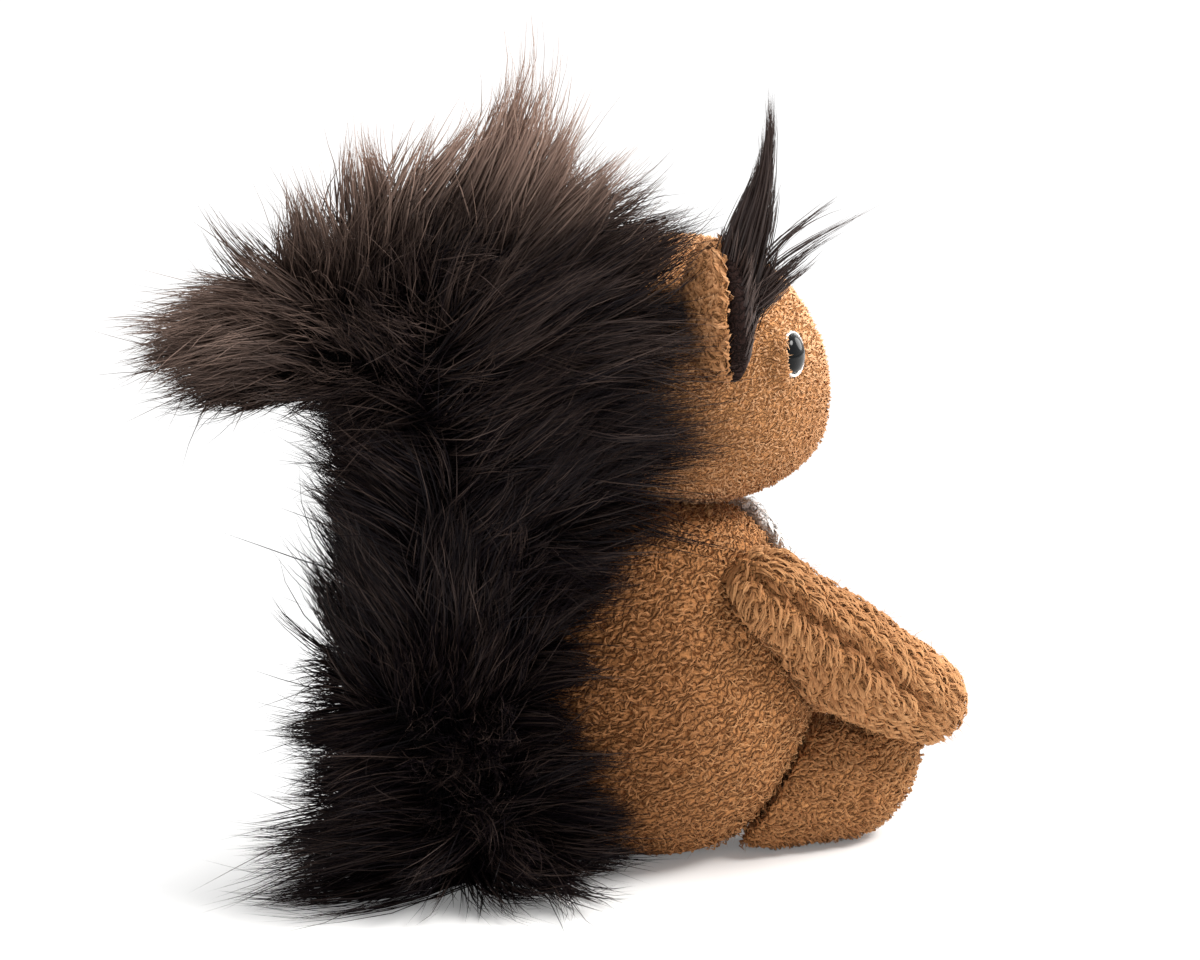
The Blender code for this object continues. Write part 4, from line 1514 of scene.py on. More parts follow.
@dataclass
class Leg(Limb):
    """A leg, which lies forward with its foot turned up."""

    node: str = "leg"
    locks: int = 4600
    hairs: int = 1000
    seed: int = 201
    shade: float = 0.30
    pile: Pile = field(default_factory=lambda: Pile(
        length=2.8 * MM, width=0.50 * MM, rise=1.10 * MM, curl=0.36 * MM, radius=15 * MM, stray=0.65,
        ridge=0.26 * MM, swirl=6 * MM, cut=Cut.SHORT, strands=2, tuft=0.45 * MM, shaded=0.08))
    thigh_rise: float = 5.5 * MM

    def press(self, places: np.ndarray) -> np.ndarray:
        """Raise the thigh where it lies against the belly."""
        middle, width = -0.034, 0.016
        thigh = np.exp(-(((places[:, 1] - middle) / width) ** 2)) * ease(places[:, 2], 0.012, 0.030)
        return places + np.array([0.0, 0.0, self.thigh_rise]) * thigh[:, None]

    def lay(self, places: np.ndarray, normals: np.ndarray) -> np.ndarray:
        """Say how the pile lies: forward, then up the foot.

        Args:
            places: The roots.
            normals: The skin's normals there.

        Returns:
            The lay at each root.
        """
        foot = ease(-places[:, 1], 0.044, 0.058)
        return np.stack([np.zeros(len(places)), -1.0 + 0.4 * foot, -0.35 + 1.1 * foot], 1)

    def tone(self, places: np.ndarray) -> np.ndarray:
        """Paint shade into the crease where the leg turns up into its foot, and lighten the foot beyond it.
        """
        start, height, slant, width = 0.045, 0.015, 0.20, 0.0016
        past = -places[:, 1] - start - slant * (places[:, 2] - height)
        return 0.24 * ease(past, 0.0, 0.008) - 0.45 * np.exp(-((past / width) ** 2))


@dataclass
class Ear:
    """A cupped ear with a dark, long-haired lining that ends in tufts.

    Its places are (outward, ahead, up) in millimetres. A tuft or wisp is a share of the hair and its guide.
    """

    side: Side
    centre: Spot = (35.65, -0.33, 149.1)
    half_sizes: Spot = (12.3, 7.9, 18.3)
    opening: Spot = (0.45, -0.89, 0.0)
    lean: float = math.radians(8)
    cup_locks: int = 2100
    cup_hairs: int = 500
    lining_hairs: int = 1300
    tuft_hairs: int = 1150
    wisp_hairs: int = 90
    left_height: float = 0.45
    pile: Pile = field(default_factory=lambda: Pile(
        length=3.0 * MM, width=0.85 * MM, rise=0.9 * MM, curl=0.30 * MM, radius=14 * MM, stray=0.8,
        ridge=0.35 * MM, swirl=8 * MM, cut=Cut.SHORT, strands=3, tuft=1.0 * MM))
    tufts: tuple = (
        (0.26, ((38, 3, 156), (40, 6.5, 170), (42, 9, 184), (42.5, 10, 196), (42, 10, 207))),
        (0.22, ((38, 2, 157), (39.5, 4.5, 169), (41, 7.5, 181), (42, 9, 191), (42, 9.5, 199))),
        (0.13, ((36.5, 0, 158), (37.5, 2, 168), (39, 4.5, 177), (41, 7, 185), (42, 8.5, 192))),
        (0.12, ((38, 4, 152), (40, 7, 162), (41.5, 9.5, 171), (42, 11, 179), (42, 11.5, 186))),
        (0.09, ((39, 2, 144), (41, 5, 151), (42, 8.5, 157), (42.5, 11.5, 163), (42.5, 13, 169))),
        (0.09, ((38, 4, 150), (41, 8, 155), (42.5, 12.5, 159), (43, 17, 162), (43, 20.5, 164))),
        (0.09, ((39, 3, 148), (41.5, 7.5, 152), (43, 11.5, 155), (43, 15, 157.5), (43, 18, 159))),
    )
    wisps: tuple = (
        (0.20, ((39, 6, 156), (42, 14, 163), (43, 24, 168), (43.5, 34, 172), (43, 43, 176))),
        (0.28, ((39, 7, 152), (42, 13, 158), (43, 19, 163), (43.5, 26, 167), (43.5, 33, 170))),
        (0.28, ((38, 7, 149), (41.5, 13, 155), (43, 18, 159), (43.5, 22, 162), (43.5, 25.5, 165))),
        (0.24, ((39, 6, 158), (42, 12, 166), (43, 18, 171), (43, 25, 175), (43, 31, 178))),
    )

    def _place(self, spots: np.ndarray) -> np.ndarray:
        """Turn (outward, ahead, up) in millimetres into places."""
        return np.asarray(spots, dtype=float) * np.array([self.side.value, -1.0, 1.0]) * MM

    def _mirrored(self, vector: Spot) -> np.ndarray:
        """Give a direction for this side."""
        return np.array([self.side.value * vector[0], vector[1], vector[2]])

    def _leaned(self, spots: np.ndarray) -> np.ndarray:
        """Lean millimetre spots about the ear's middle, top toward the head."""
        spots = np.array(spots, dtype=float)
        spots[:, 0] -= (spots[:, 2] - self.centre[2]) * math.tan(self.lean)
        return spots

    def _guides(self, guides: tuple) -> tuple:
        """Give the hair's guides for this side; the left ear's tufts stand less high."""
        if self.side is Side.RIGHT:
            return guides
        low = []
        for weight, guide in guides:
            line = np.array(guide, dtype=float)
            line[:, 2] = line[0, 2] + (line[:, 2] - line[0, 2]) * self.left_height
            low.append((weight, line))
        return tuple(low)

    def build(self) -> None:
        """Make the cup, the lining and the tufts."""
        cover(f"ear_pile_{self.side.word}", self._cup(), self.pile,
              lambda places, normals: pick_lay(places, (0.0, 0.35, 0.8)), self.cup_locks, self.cup_hairs, 40,
              FACE_PILE, "face_plush", 0.10, keep=self._outer)
        self._lining()

    def _outer(self, places: np.ndarray, normals: np.ndarray) -> np.ndarray:
        """Say which roots are on the cup's outside."""
        offset = (places - self._place(self.centre)) * np.array([1.0, 1.0, 0.5])
        return (offset * normals).sum(1) > 0.0

    def _cup(self) -> bpy.types.Object:
        """Make the cup, a shell that is open in front.

        Returns:
            The cup.
        """
        word = self.side.word
        cup = ball(f"ear_cup_{word}", 40, 28)
        spots = read_places(cup.data) * np.array(self.half_sizes) + np.array(self.centre)
        write_places(cup.data, self._place(self._leaned(spots)))
        middle = self._place(np.array(self.centre) + np.array([0.0, 1.2, 0.0]))
        opening = self._mirrored(self.opening)
        choose(cup)
        bpy.ops.object.mode_set(mode="EDIT")
        bpy.ops.mesh.select_all(action="SELECT")
        bpy.ops.mesh.normals_make_consistent(inside=False)
        bpy.ops.mesh.bisect(plane_co=tuple(middle), plane_no=tuple(opening), clear_outer=True)
        bpy.ops.object.mode_set(mode="OBJECT")
        wall = cup.modifiers.new("Wall", "SOLIDIFY")
        wall.thickness = 2.4 * MM
        wall.offset = -1.0
        apply_modifiers(cup)
        Stuffing(voxel=1.5 * MM, limit=0.4 * MM).fill(cup)
        Fitter.fit(cup, FACE_BACKING, "face_plush", f"ear_{word}", 0.4)
        return cup

    def _lining(self) -> None:
        """Make the lining's cloth and all its hair."""
        word = self.side.word
        pad = ball(f"ear_lining_pad_{word}", 32, 20)
        half_sizes = np.array([9.5, 3.6, 17.0])
        centre = np.array(self.centre) + np.array([2.0, 1.0, 0.0])
        write_places(pad.data, self._place(self._leaned(read_places(pad.data) * half_sizes + centre)))
        face_outward(pad)
        pad.data.shade_smooth()
        Fitter.fit(pad, LINING_BACKING, "dark_fur", f"ear_lining_{word}", 0.4)
        fibres = Fibres(f"ear_tufts_{word}")
        self._short_hair(fibres, pad)
        self._tuft(fibres, self._guides(self.tufts), self.tuft_hairs, 3.0 * MM, 51)
        self._tuft(fibres, self._guides(self.wisps), self.wisp_hairs, 2.0 * MM, 61)
        Fitter.fit(fibres.build(), EAR_HAIR, "dark_fur")

    def _short_hair(self, fibres: Fibres, pad: bpy.types.Object) -> None:
        """Cover the lining with hair that lies up toward the tufts."""
        widths = np.array([0.50, 0.42, 0.28]) * MM
        points = len(widths) + 1
        places, normals = Skin.of(pad).scatter(self.lining_hairs, 46)
        open_side = normals @ self._mirrored(self.opening) > -0.1
        places, normals = places[open_side], normals[open_side]
        chance = np.random.default_rng(47)
        count = len(places)
        upward = self._mirrored((0.1, -0.25, 1.0))
        start = unit(normals * 0.15 + upward + chance.normal(0, 0.12, (count, 3)))
        length = chance.uniform(4, 7, count) * MM * (1 + 0.5 * ease(places[:, 2], 0.146, 0.160))
        share = np.linspace(0, 1, points)[None, :, None]
        lines = places[:, None] + start[:, None] * length[:, None, None] * share
        lines -= normals[:, None] * (length[:, None, None] * 0.20 * share**2)
        across = unit(np.cross(start, normals + chance.normal(0, 0.4, (count, 3))))
        sides = np.repeat(across[:, None], points, 1)
        fibres.add(lines, sides, widths, chance.uniform(0.25, 0.6, count))

    def _tuft(self, fibres: Fibres, guides: tuple, total: int, spread: float, seed: int) -> None:
        """Grow hair along guides that draws together toward the tips.

        Args:
            fibres: The mesh that takes it.
            guides: Shares of the hair, each with a line of (outward, ahead, up) in millimetres.
            total: How many hairs there are.
            spread: How far the roots lie round a guide.
            seed: Picks the pattern.
        """
        widths = np.array([0.34, 0.31, 0.26, 0.20, 0.13]) * MM
        points = len(widths) + 1
        chance = np.random.default_rng(seed)
        for weight, guide in guides:
            line = smooth_line(self._place(guide), 4)
            count = int(total * weight)
            reach = chance.uniform(0.50, 1.0, count) ** 0.8
            share = np.linspace(0, 1, points)[None, :] * reach[:, None]
            lines = follow(np.broadcast_to(line, (count, *line.shape)), share)
            root = chance.normal(0, 0.55, (count, 3)) * spread
            stray = chance.normal(0, 1.0, (count, 3)) * 1.1 * MM
            gather = (1 - share) ** 1.2 + 0.06
            lines = lines + root[:, None] * gather[:, :, None] + stray[:, None] * (share**2)[:, :, None]
            facing = unit(chance.normal(size=(count, 3)))
            sides = unit(np.cross(headings(lines), facing[:, None]))
            fibres.add(lines, sides, widths, chance.uniform(0.05, 0.45, count))


@dataclass(frozen=True)
class Fall:
    """How the tail's hair falls about one place.

    Attributes:
        place: The place as (outward, ahead, up) in millimetres, the same on both sides.
        way: The way that the hair points, as (outward, ahead, up).
        length: How long it is there, in millimetres.
    """

    place: Spot
    way: Spot
    length: float


@dataclass
class Tail:
    """The tail: a stuffed core that curls back, under long loose hair that is combed up and forward.

    The falls comb the hair place by place. The locks are guides of (right, ahead, up) in millimetres for the
    outline. The gaps of clear are those to the head, the torso and the table.
    """

    core: tuple[float, ...] = (0.0215, 0.0235, 0.0235, 0.0215, 0.0117)
    line: tuple[Band, ...] = (
        (0.052, 0.010), (0.062, 0.0395), (0.060, 0.0761), (0.054, 0.1091), (0.056, 0.128),
        (0.0674, 0.1422), (0.0847, 0.147), (0.116, 0.147),
    )
    crown_place: Spot = (0.0, 0.051, 0.1520)
    crown_sizes: Spot = (0.024, 0.031, 0.0265)
    torso_outline: tuple[Band, ...] = (
        (0.0, 0.0215), (0.0145, 0.0365), (0.038, 0.045), (0.060, 0.042), (0.080, 0.034), (0.092, 0.024),
        (0.098, 0.001),
    )
    head_centre: Spot = Head.centre
    head_radius: float = Head.half_sizes[0]
    clear: Spot = (1.5 * MM, 1.8 * MM, 0.8 * MM)
    half_width: float = 62 * MM
    root_count: int = 2832
    per_guide: int = 20
    masters: int = 380
    wild: float = 0.14
    reach: float = 5.5
    bands: Band = (0.062, 0.130)
    falls: tuple[Fall, ...] = (
        Fall((0, -74, 6), (0, -1, -0.10), 41),
        Fall((22, -54, 6), (0.85, -0.45, -0.12), 31),
        Fall((16, -36, 10), (0.8, 0.65, -0.05), 29),
        Fall((0, -86, 30), (0, -1, 0.10), 27),
        Fall((24, -60, 32), (0.75, -0.3, 0.25), 25),
        Fall((20, -42, 30), (0.7, 0.7, 0.02), 28),
        Fall((0, -84, 70), (0, -0.55, 0.83), 27),
        Fall((24, -60, 70), (0.5, -0.05, 0.87), 26),
        Fall((18, -42, 70), (0.7, 0.6, 0.35), 26),
        Fall((20, -40, 90), (0.6, 0.75, 0.25), 36),
        Fall((0, -78, 108), (0, -0.80, 0.60), 31),
        Fall((22, -54, 108), (0.55, 0.5, 0.6), 38),
        Fall((16, -36, 108), (0.55, 0.85, 0.05), 45),
        Fall((22, -44, 132), (0.45, 0.85, 0.15), 50),
        Fall((22, -60, 132), (0.55, 0.45, 0.45), 36),
        Fall((8, -30, 135), (0.7, 0.6, 0.3), 44),
        Fall((0, -82, 126), (0, -1, 0.05), 25),
        Fall((16, -28, 158), (0.6, 0.6, 0.45), 36),
        Fall((20, -46, 170), (0.42, 0.55, 0.70), 33),
        Fall((8, -48, 181), (0.25, 0.30, 1.0), 26),
        Fall((18, -64, 170), (0.45, 0.45, 0.45), 13),
        Fall((4, -64, 177), (0.10, 0.55, 0.45), 8),
        Fall((4, -72, 172), (0.05, 0.10, 0.70), 9),
        Fall((14, -62, 172), (0.45, 0.20, 0.45), 10),
        Fall((14, -70, 168), (0.45, 0.00, 0.45), 10),
        Fall((6, -76, 172), (0.10, 0.0, 1.0), 15),
        Fall((2, -86, 164), (0.05, 0.0, 1.0), 30),
        Fall((8, -90, 162), (0.25, -0.05, 1.0), 26),
        Fall((4, -99, 162), (0.05, -0.15, 1.0), 26),
        Fall((4, -104, 161), (0.05, -0.05, 1.0), 27),
        Fall((6, -108, 160), (0.20, -1.0, -0.35), 22),
        Fall((8, -113, 158), (0.2, -1.0, -0.30), 27),
        Fall((10, -119, 156), (0.2, -0.95, -0.10), 28),
        Fall((0, -127, 148), (0, -1, 0.0), 22),
        Fall((0, -108, 133), (0, -0.98, -0.05), 27),
        Fall((14, -96, 146), (0.5, -0.75, 0.10), 26),
        Fall((16, -84, 150), (0.5, -0.30, 0.50), 24),
    )
    locks: tuple = (
        ((10, -56, 178), (17, -52, 193), (22, -49, 207), (24, -48, 218), (24, -48.7, 230)),
        ((12, -55, 178), (19, -50, 192), (23, -47, 203), (25, -45.5, 212), (25, -45, 221)),
        ((14, -54, 176), (21, -48, 189), (25, -44, 199), (27, -42, 207), (27, -41, 214)),
        ((8, -58, 180), (14, -55, 192), (18, -53, 202), (20, -52, 209), (21, -52, 215)),
        ((16, -50, 174), (23, -44, 186), (27, -40, 195), (29, -37, 202), (30, -35, 207)),
        ((20, -46, 166), (27, -38, 177), (32, -31, 185), (34, -26, 190), (35, -21, 195)),
        ((21, -40, 156), (30, -30, 165), (35, -22, 171), (37.5, -16, 176), (39, -11, 180)),
        ((21, -38, 146), (31, -27, 155), (36.5, -18, 161), (39, -12, 166), (40, -7, 170)),
        ((6, -80, 176), (7, -82, 184), (8, -84, 191), (8, -86, 197), (8, -87, 203)),
        ((4, -88, 172), (5, -89, 181), (5, -90, 189), (5, -90, 195), (5, -90, 201)),
        ((4, -96, 166), (5, -99, 174), (5, -101, 181), (5, -103, 187), (5, -104, 192)),
        ((8, -76, 178), (10, -75, 185), (12, -73, 192), (13, -71, 198), (14, -69, 203)),
        ((10, -70, 182), (14, -66, 189), (17, -62, 196), (19, -59, 202), (20, -57, 208)),
        ((6, -116, 155), (8, -125, 158), (9, -133, 160), (10, -141, 161), (10, -148, 162)),
        ((4, -118, 147), (6, -126, 146), (7, -133, 144), (8, -140, 142), (8, -147, 139)),
        ((6, -118, 152), (8, -127, 154), (9, -135, 154), (10, -142, 154), (10, -150, 153)),
    )

    def _axis(self) -> np.ndarray:
        """Give the tail's middle line."""
        return smooth_line(np.array([(0.0, y, z) for y, z in self.line]), 8)

    def build(self) -> None:
        """Make the core and the hair."""
        self._hair(self._core())

    def _core(self) -> bpy.types.Object:
        """Make the stuffed core with the mound on its bend.

        Returns:
            The core.
        """
        axis = self._axis()
        slimmed = 0.94
        ends = np.radians([72, 50, 26])
        steps, marks = np.linspace(0, 1, len(axis)), np.linspace(0, 1, len(self.core))
        radii = np.interp(steps, marks, self.core) * slimmed
        before = axis[0] - unit(axis[1] - axis[0]) * (radii[0] * np.sin(ends))[:, None]
        after = axis[-1] + unit(axis[-1] - axis[-2]) * (radii[-1] * np.sin(ends[::-1]))[:, None]
        line = np.vstack([before, axis, after])
        radii = np.concatenate([radii[0] * np.cos(ends), radii, radii[-1] * np.cos(ends[::-1])])
        core = tube_mesh("tail_core", line, radii, 8)
        mound = ball("tail_mound", 36, 24)
        crown = read_places(mound.data) * np.array(self.crown_sizes) + np.array(self.crown_place)
        write_places(mound.data, crown)
        choose(core)
        mound.select_set(True)
        bpy.ops.object.join()
        Stuffing(voxel=4.5 * MM, limit=2.0 * MM).fill(core)
        places = read_places(core.data)
        places[:, 2] = np.maximum(places[:, 2], 0.6 * MM)
        write_places(core.data, places)
        Fitter.fit(core, DARK_BACKING, "dark_fur", "tail", 0.7)
        return core

    def _roots(self, core: bpy.types.Object) -> tuple[np.ndarray, np.ndarray]:
        """Spread roots over the core, away from the torso and the head.

        Args:
            core: The stuffed core.

        Returns:
            Places and outward normals.
        """
        gap = 0.5 * MM
        place, outward = Skin.of(core).scatter(self.root_count, 79)
        torso = np.interp(place[:, 2], *np.array(self.torso_outline).T, right=0.0)
        clear = np.hypot(place[:, 0], place[:, 1]) > torso + gap
        clear &= np.linalg.norm(place - np.array(self.head_centre), axis=1) > self.head_radius + gap
        clear &= place[:, 2] > 2 * gap
        return place[clear], outward[clear]

    def _fall(self, place: np.ndarray, outward: np.ndarray,
              chance: np.random.Generator) -> tuple[np.ndarray, np.ndarray, np.ndarray]:
        """Say how the hair stands at each root.

        Args:
            place: The roots.
            outward: The core's normals.
            chance: The random source.

        Returns:
            The first direction, the way it bends, and the length of each guide.
        """
        count = len(place)
        side = np.sign(place[:, 0])
        folded = np.stack([np.abs(place[:, 0]), -place[:, 1], place[:, 2]], 1) / MM
        spots = np.array([fall.place for fall in self.falls], dtype=float)
        ways = unit(np.array([fall.way for fall in self.falls], dtype=float))
        lengths = np.array([fall.length for fall in self.falls], dtype=float)
        far = ((folded[:, None] - spots[None]) ** 2).sum(2) / (2 * self.reach**2)
        weights = np.exp(-(far - far.min(1, keepdims=True)))
        weights /= weights.sum(1, keepdims=True)
        way = unit(weights @ ways)
        way = np.stack([way[:, 0] * side, -way[:, 1], way[:, 2]], 1)
        patch = np.stack([drift(place, 26 * MM, seed) for seed in (71, 72, 73)], 1)
        start = unit(way + outward * 0.30 + patch * 0.20 + chance.normal(0, 0.13, (count, 3)))
        bend = (way - start) * 1.2 + chance.normal(0, 0.20, (count, 3)) + patch[:, ::-1] * 0.16
        length = (weights @ lengths) * chance.uniform(0.70, 1.20, count) * MM
        return start, bend, length

    def _gathered(self, guides: np.ndarray, chance: np.random.Generator) -> np.ndarray:
        """Draw guides together into large pointed locks, each toward the nearest master guide.

        Args:
            guides: The guides, as (guide, station, XYZ).
            chance: The random source.

        Returns:
            The guides with their tips drawn together.
        """
        share = np.linspace(0, 1, guides.shape[1])[None, :, None] ** 1.2
        for masters, least, most in ((self.masters, 0.25, 0.75), (self.masters // 4, -0.05, 0.55)):
            leaders = guides[chance.choice(len(guides), masters, replace=False)]
            gaps = ((guides[:, None, 2] - leaders[None, :, 2]) ** 2).sum(2)
            leader = leaders[gaps.argmin(1)]
            guides = guides + (leader - guides) * share * chance.uniform(least, most, (len(guides), 1, 1))
        return guides

    def _push(self, here: np.ndarray) -> np.ndarray:
        """Move points out of the head, the torso and the table."""
        head_gap, torso_gap, table_gap = self.clear
        torso_top = 0.095
        centre = np.array(self.head_centre)
        offset = here - centre
        far = np.linalg.norm(offset, axis=-1, keepdims=True)
        nearest = self.head_radius + head_gap
        here = np.where(far < nearest, centre + offset / far * nearest, here)
        flat = np.hypot(here[..., 0], here[..., 1])
        torso = np.interp(here[..., 2], *np.array(self.torso_outline).T, right=0.0) + torso_gap
        inside = (flat < torso) & (here[..., 2] < torso_top)
        grow = np.where(inside, torso / np.maximum(flat, 1e-6), 1.0)
        here = here * np.stack([grow, grow, np.ones_like(grow)], -1)
        here[..., 2] = np.maximum(here[..., 2], table_gap)
        return here

    def _trimmed(self, lines: np.ndarray) -> np.ndarray:
        """Shorten the hairs that stand out too far to the side."""
        least, smallest = 0.15, 0.1 * MM
        far = np.abs(lines[:, :, 0]).max(1)
        root = np.abs(lines[:, 0, 0])
        share = np.clip((self.half_width - root) / np.maximum(far - root, smallest), least, 1.0)
        return lines[:, :1] + (lines - lines[:, :1]) * share[:, None, None]

    def _lines(self, place: np.ndarray, start: np.ndarray, bend: np.ndarray,
               length: np.ndarray) -> np.ndarray:
        """Run guides from their roots, round the head and the torso and over the table.

        Args:
            place: The roots.
            start: The first directions.
            bend: The way they bend.
            length: Their lengths.

        Returns:
            The guides, as (guide, station, XYZ).
        """
        stations = 7
        step = length / (stations - 1)
        points, heading, here = [place], start, place
        for index in range(1, stations):
            heading = unit(heading + bend * (0.9 / (stations - 1)) * (index / 2))
            here = self._push(here + heading * step[:, None])
            points.append(here)
        return np.stack(points, 1)

    def _chosen(self, chance: np.random.Generator) -> tuple[np.ndarray, np.ndarray]:
        """Place the locks that give the tail its outline.

        Args:
            chance: The random source.

        Returns:
            Guides and the outward direction of each.
        """
        copies, shifted, kept = 6, 2.2, [0, 1, 3, 4, 5, 7, 8]
        lines = []
        for lock in self.locks:
            base = np.array(lock, dtype=float) * np.array([-1.0, -1.0, 1.0]) * MM
            for copy in range(copies):
                shift = chance.normal(0, shifted, 3) * MM
                spread = np.linspace(1.0, 0.5, len(base))[:, None]
                size = chance.uniform(0.62, 0.95) if copy else 1.0
                line = base[0] + (base - base[0]) * size + shift * spread
                lines.append(smooth_line(line, 2)[kept])
        lines = np.array(lines)
        normals = unit(lines[:, 2] - lines[:, 0] + np.array([-0.6, 0.0, 0.3]) * 0.02)
        return lines, normals

    def _hair(self, core: bpy.types.Object) -> None:
        """Grow the hair in drawn-together locks.

        Args:
            core: The stuffed core.
        """
        widths = np.array([0.39, 0.36, 0.28, 0.15]) * MM
        points = len(widths) + 1
        chance = np.random.default_rng(77)
        guides, outward = self._all_guides(core, chance)
        count = len(guides)
        total = count * self.per_guide
        owner = np.repeat(np.arange(count), self.per_guide)
        reach = chance.uniform(0.45, 1.0, total) ** 0.75
        share = np.linspace(0, 1, points)[None, :] * reach[:, None]
        lines = follow(guides[owner], share)
        scatter = chance.normal(0, 1.0, (total, 3))
        scatter -= (scatter * outward[owner]).sum(1, keepdims=True) * outward[owner]
        scatter *= 2.7 * MM
        tight = chance.uniform(0.35, 0.92, count)[owner]
        gather = 1 - tight[:, None] * share**0.9
        lines = lines + scatter[:, None] * gather[:, :, None]
        stray = chance.normal(0, 1.0, (total, 3)) * 1.7 * MM
        loose = (chance.uniform(0, 1, total) < 0.10) * 3.6 + 1.0
        lines = lines + (stray * loose[:, None])[:, None] * (share**1.6)[:, :, None]
        lines = self._trimmed(self._push(lines))
        facing = unit(outward[owner] + chance.normal(0, 0.75, (total, 3)))
        sides = unit(np.cross(headings(lines), facing[:, None]))
        shades = self._shades(lines, outward[owner], chance)
        band = np.digitize(lines[:, 0, 2], self.bands)
        for index, name in enumerate(("tail_hair_low", "tail_hair_middle", "tail_hair_curl")):
            fibres = Fibres(name)
            fibres.add(lines[band == index], sides[band == index], widths, shades[band == index])
            Fitter.fit(fibres.build(), DARK_HAIR, "dark_fur")

    def _all_guides(self, core: bpy.types.Object,
                    chance: np.random.Generator) -> tuple[np.ndarray, np.ndarray]:
        """Make the guides that the hair follows: those that grow all over the core, and the outline's locks.

        Args:
            core: The stuffed core.
            chance: The random source.

        Returns:
            Guides, as (guide, station, XYZ), and the outward direction of each.
        """
        wild_length, wild_turn = 1.42, 0.28
        place, outward = self._roots(core)
        start, bend, length = self._fall(place, outward, chance)
        wild = chance.uniform(0, 1, len(place)) < self.wild
        fuller = 1.22 - 0.22 * ease(place[:, 2], 0.008, 0.036)
        length = np.where(wild, length * wild_length, length) * fuller
        start = unit(start + wild[:, None] * chance.normal(0, wild_turn, (len(place), 3)))
        guides = self._gathered(self._lines(place, start, bend, length), chance)
        extra, extra_normals = self._chosen(chance)
        return np.concatenate([guides, extra]), np.concatenate([outward, extra_normals])

    @staticmethod
    def _shades(lines: np.ndarray, outward: np.ndarray, chance: np.random.Generator) -> np.ndarray:
        """Give each hair its shade: lighter brown on the crown and the curl as painted light from above, near
        black elsewhere.

        Args:
            lines: The hairs.
            outward: The core's normals at their roots.
            chance: The random source.

        Returns:
            Shades from 0 to 1.
        """
        root, tip = lines[:, 0], lines[:, -1]
        # Painted light: hair high on the crown, and hair on the curl most where it faces up, is made lighter
        # as if lit from above.
        crown = ease(tip[:, 2], 0.172, 0.204) * (0.35 + 0.65 * ease(outward[:, 2], -0.1, 0.7))
        curl = 0.25 * ease(root[:, 1], 0.085, 0.110) * (0.4 + 0.6 * ease(outward[:, 2], -0.4, 0.6))
        high = 0.05 * ease(root[:, 2], 0.110, 0.150)
        painted_crown_light = 0.80 * crown
        return np.clip(0.02 + high + painted_crown_light + curl * (1 - crown) + chance.normal(0, 0.06, len(lines)), 0, 1)


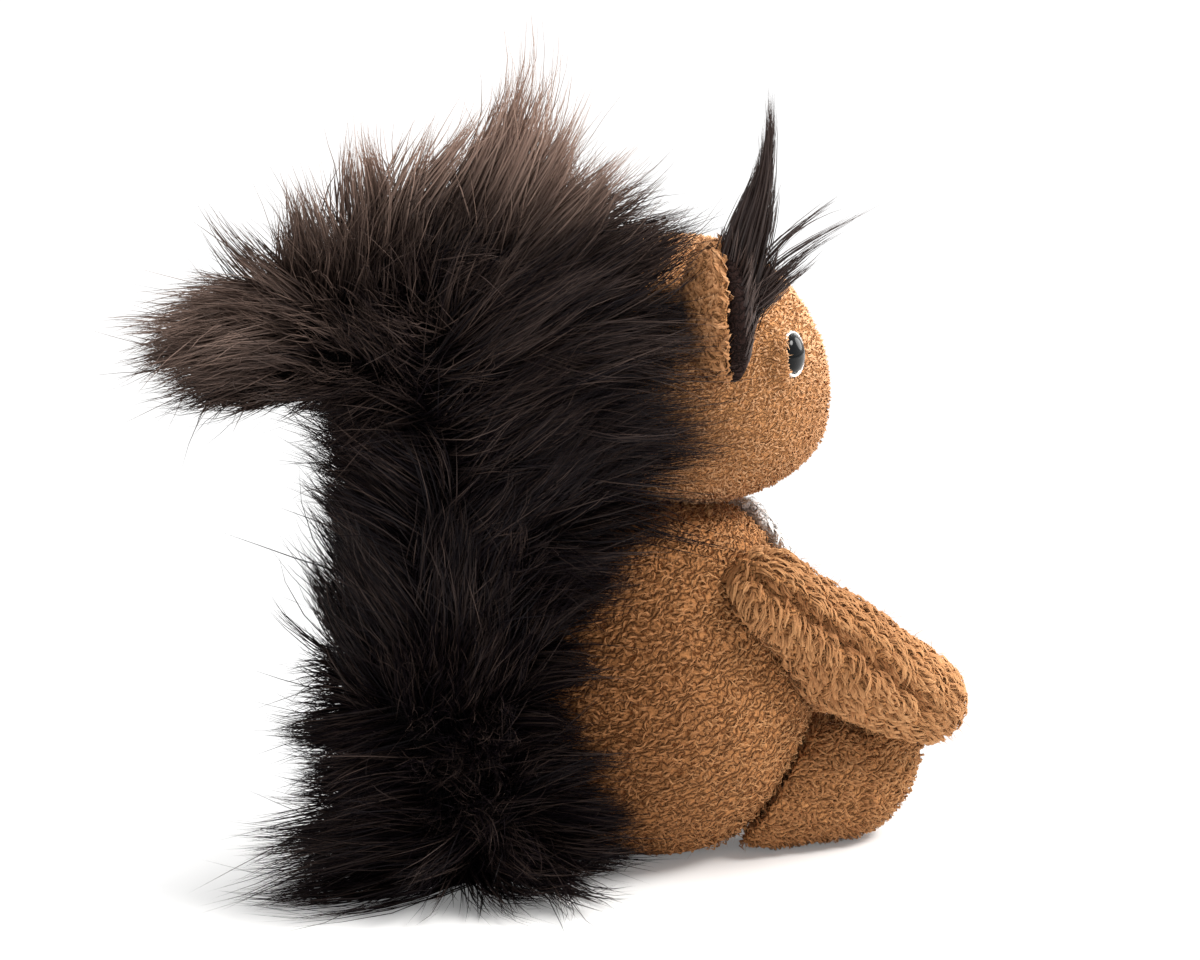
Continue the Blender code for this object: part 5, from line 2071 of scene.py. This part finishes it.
@dataclass
class Studio:
    """A plain white studio and the camera of the photograph."""

    aim: Spot = (0.0, 0.015, 0.101)
    azimuth: float = math.radians(240)
    elevation: float = math.radians(12)
    distance: float = 0.965
    lens: float = 110.0
    shadow_edge: Band = (0.09, 0.155)

    def build(self) -> None:
        """Make the floor, the lamps, the world and the camera."""
        self._floor()
        self._world()
        self._lamp("key", (-0.62, -0.85, 1.20), 0.60, 31.0, (1.0, 0.98, 0.95))
        self._lamp("top", (0.10, 0.30, 1.50), 0.70, 19.0, (1.0, 0.99, 0.98))
        self._lamp("fill", (-1.3, 0.9, 0.5), 1.0, 4.5, (1.0, 1.0, 1.0))
        self._lamp("front", (0.15, -1.40, 0.55), 0.80, 10.0, (1.0, 0.99, 0.97))
        self._camera()
        bpy.context.scene.view_settings.view_transform = "Standard"

    def _lamp(self, name: str, place: Spot, size: float, power: float, colour: Colour) -> None:
        """Add a soft lamp that faces the squirrel.

        Args:
            name: The lamp's name.
            place: Where it hangs.
            size: The width of its disc.
            power: Its power in watts.
            colour: Its colour.
        """
        data = bpy.data.lights.new(name, "AREA")
        data.shape = "DISK"
        data.size = size
        data.energy = power
        data.color = colour
        lamp = put_in_scene(name, data)
        lamp.location = place
        lamp.rotation_euler = (Vector(self.aim) - Vector(place)).to_track_quat("-Z", "Y").to_euler()

    def _floor(self) -> None:
        """Add the floor, white to the camera with the squirrel's shadow on it."""
        bpy.ops.object.select_all(action="DESELECT")
        bpy.ops.mesh.primitive_plane_add(size=6.0, location=(0, 0, 0))
        floor = bpy.context.object
        floor.name = "studio_floor"
        shader = Shader("studio_white", 0.9, 0.0)
        shader.set("Base Color", (0.86, 0.86, 0.86))
        glowing = 1.12
        start, end = self.shadow_edge
        light = shader.node("ShaderNodeLightPath")
        place = shader.node("ShaderNodeTexCoord").outputs["Object"]
        steps = (("SUBTRACT", (0.0, 0.03, 0.0)), ("MULTIPLY", (1.5, 1.0, 1.0)))
        for operation, vector in steps:
            turned = shader.node("ShaderNodeVectorMath", {"operation": operation}, {0: place, 1: vector})
            place = turned.outputs[0]
        length = shader.node("ShaderNodeVectorMath", {"operation": "LENGTH"}, {0: place}).outputs["Value"]
        limits = {"Value": length, "From Min": start, "From Max": end, "To Min": 0.12, "To Max": 1.0}
        away = shader.node("ShaderNodeMapRange", {"interpolation_type": "SMOOTHSTEP"}, limits)
        seen = Value(shader, light.outputs["Is Camera Ray"]) * Value(shader, away.outputs[0])
        glow = shader.node("ShaderNodeEmission", {}, {"Color": (1.0, 1.0, 1.0), "Strength": glowing})
        looks = {0: seen, 1: shader.surface.outputs[0], 2: glow.outputs[0]}
        mix = shader.node("ShaderNodeMixShader", {}, looks)
        shader.tree.links.new(mix.outputs[0], shader.output.inputs["Surface"])
        floor.data.materials.append(shader.material)

    def _world(self) -> None:
        """Light everything softly, and show white behind the squirrel."""
        soft, white = 0.34, 1.0
        world = bpy.data.worlds.new("studio")
        bpy.context.scene.world = world
        world.use_nodes = True
        nodes, links = world.node_tree.nodes, world.node_tree.links
        back = nodes["Background"]
        path = nodes.new("ShaderNodeLightPath")
        seen = nodes.new("ShaderNodeMath")
        seen.operation = "MAXIMUM"
        links.new(path.outputs["Is Camera Ray"], seen.inputs[0])
        links.new(path.outputs["Is Glossy Ray"], seen.inputs[1])
        power = nodes.new("ShaderNodeMapRange")
        power.inputs["To Min"].default_value = soft
        power.inputs["To Max"].default_value = white
        links.new(seen.outputs[0], power.inputs["Value"])
        links.new(power.outputs[0], back.inputs["Strength"])
        back.inputs["Color"].default_value = (1.0, 1.0, 1.0, 1.0)

    def _camera(self) -> None:
        """Set the camera."""
        data = bpy.data.cameras.new("camera")
        data.lens = self.lens
        data.sensor_width = 36.0
        data.clip_start = 0.01
        camera = put_in_scene("camera", data)
        level = math.cos(self.elevation)
        sideways, ahead = math.sin(self.azimuth) * level, -math.cos(self.azimuth) * level
        back = Vector((sideways, ahead, math.sin(self.elevation)))
        camera.location = Vector(self.aim) + back * self.distance
        camera.rotation_euler = back.to_track_quat("Z", "Y").to_euler()
        bpy.context.scene.camera = camera


def dress_washer(side: Side) -> None:
    """Give the locking washer inside the head its plastic."""
    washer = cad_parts[f"eye_washer_{side.word}"]
    for slot in washer.material_slots:
        slot.material = WASHER_PLASTIC.material()


def main() -> None:
    """Build the squirrel and its studio."""
    logging.basicConfig(level=logging.INFO, format="%(name)s %(message)s")
    Torso().build()
    Head().build()
    for side in Side:
        Arm(side).build()
        Leg(side).build()
        Ear(side).build()
        dress_washer(side)
    Tail().build()
    Studio().build()


if __name__ == "__main__":
    main()
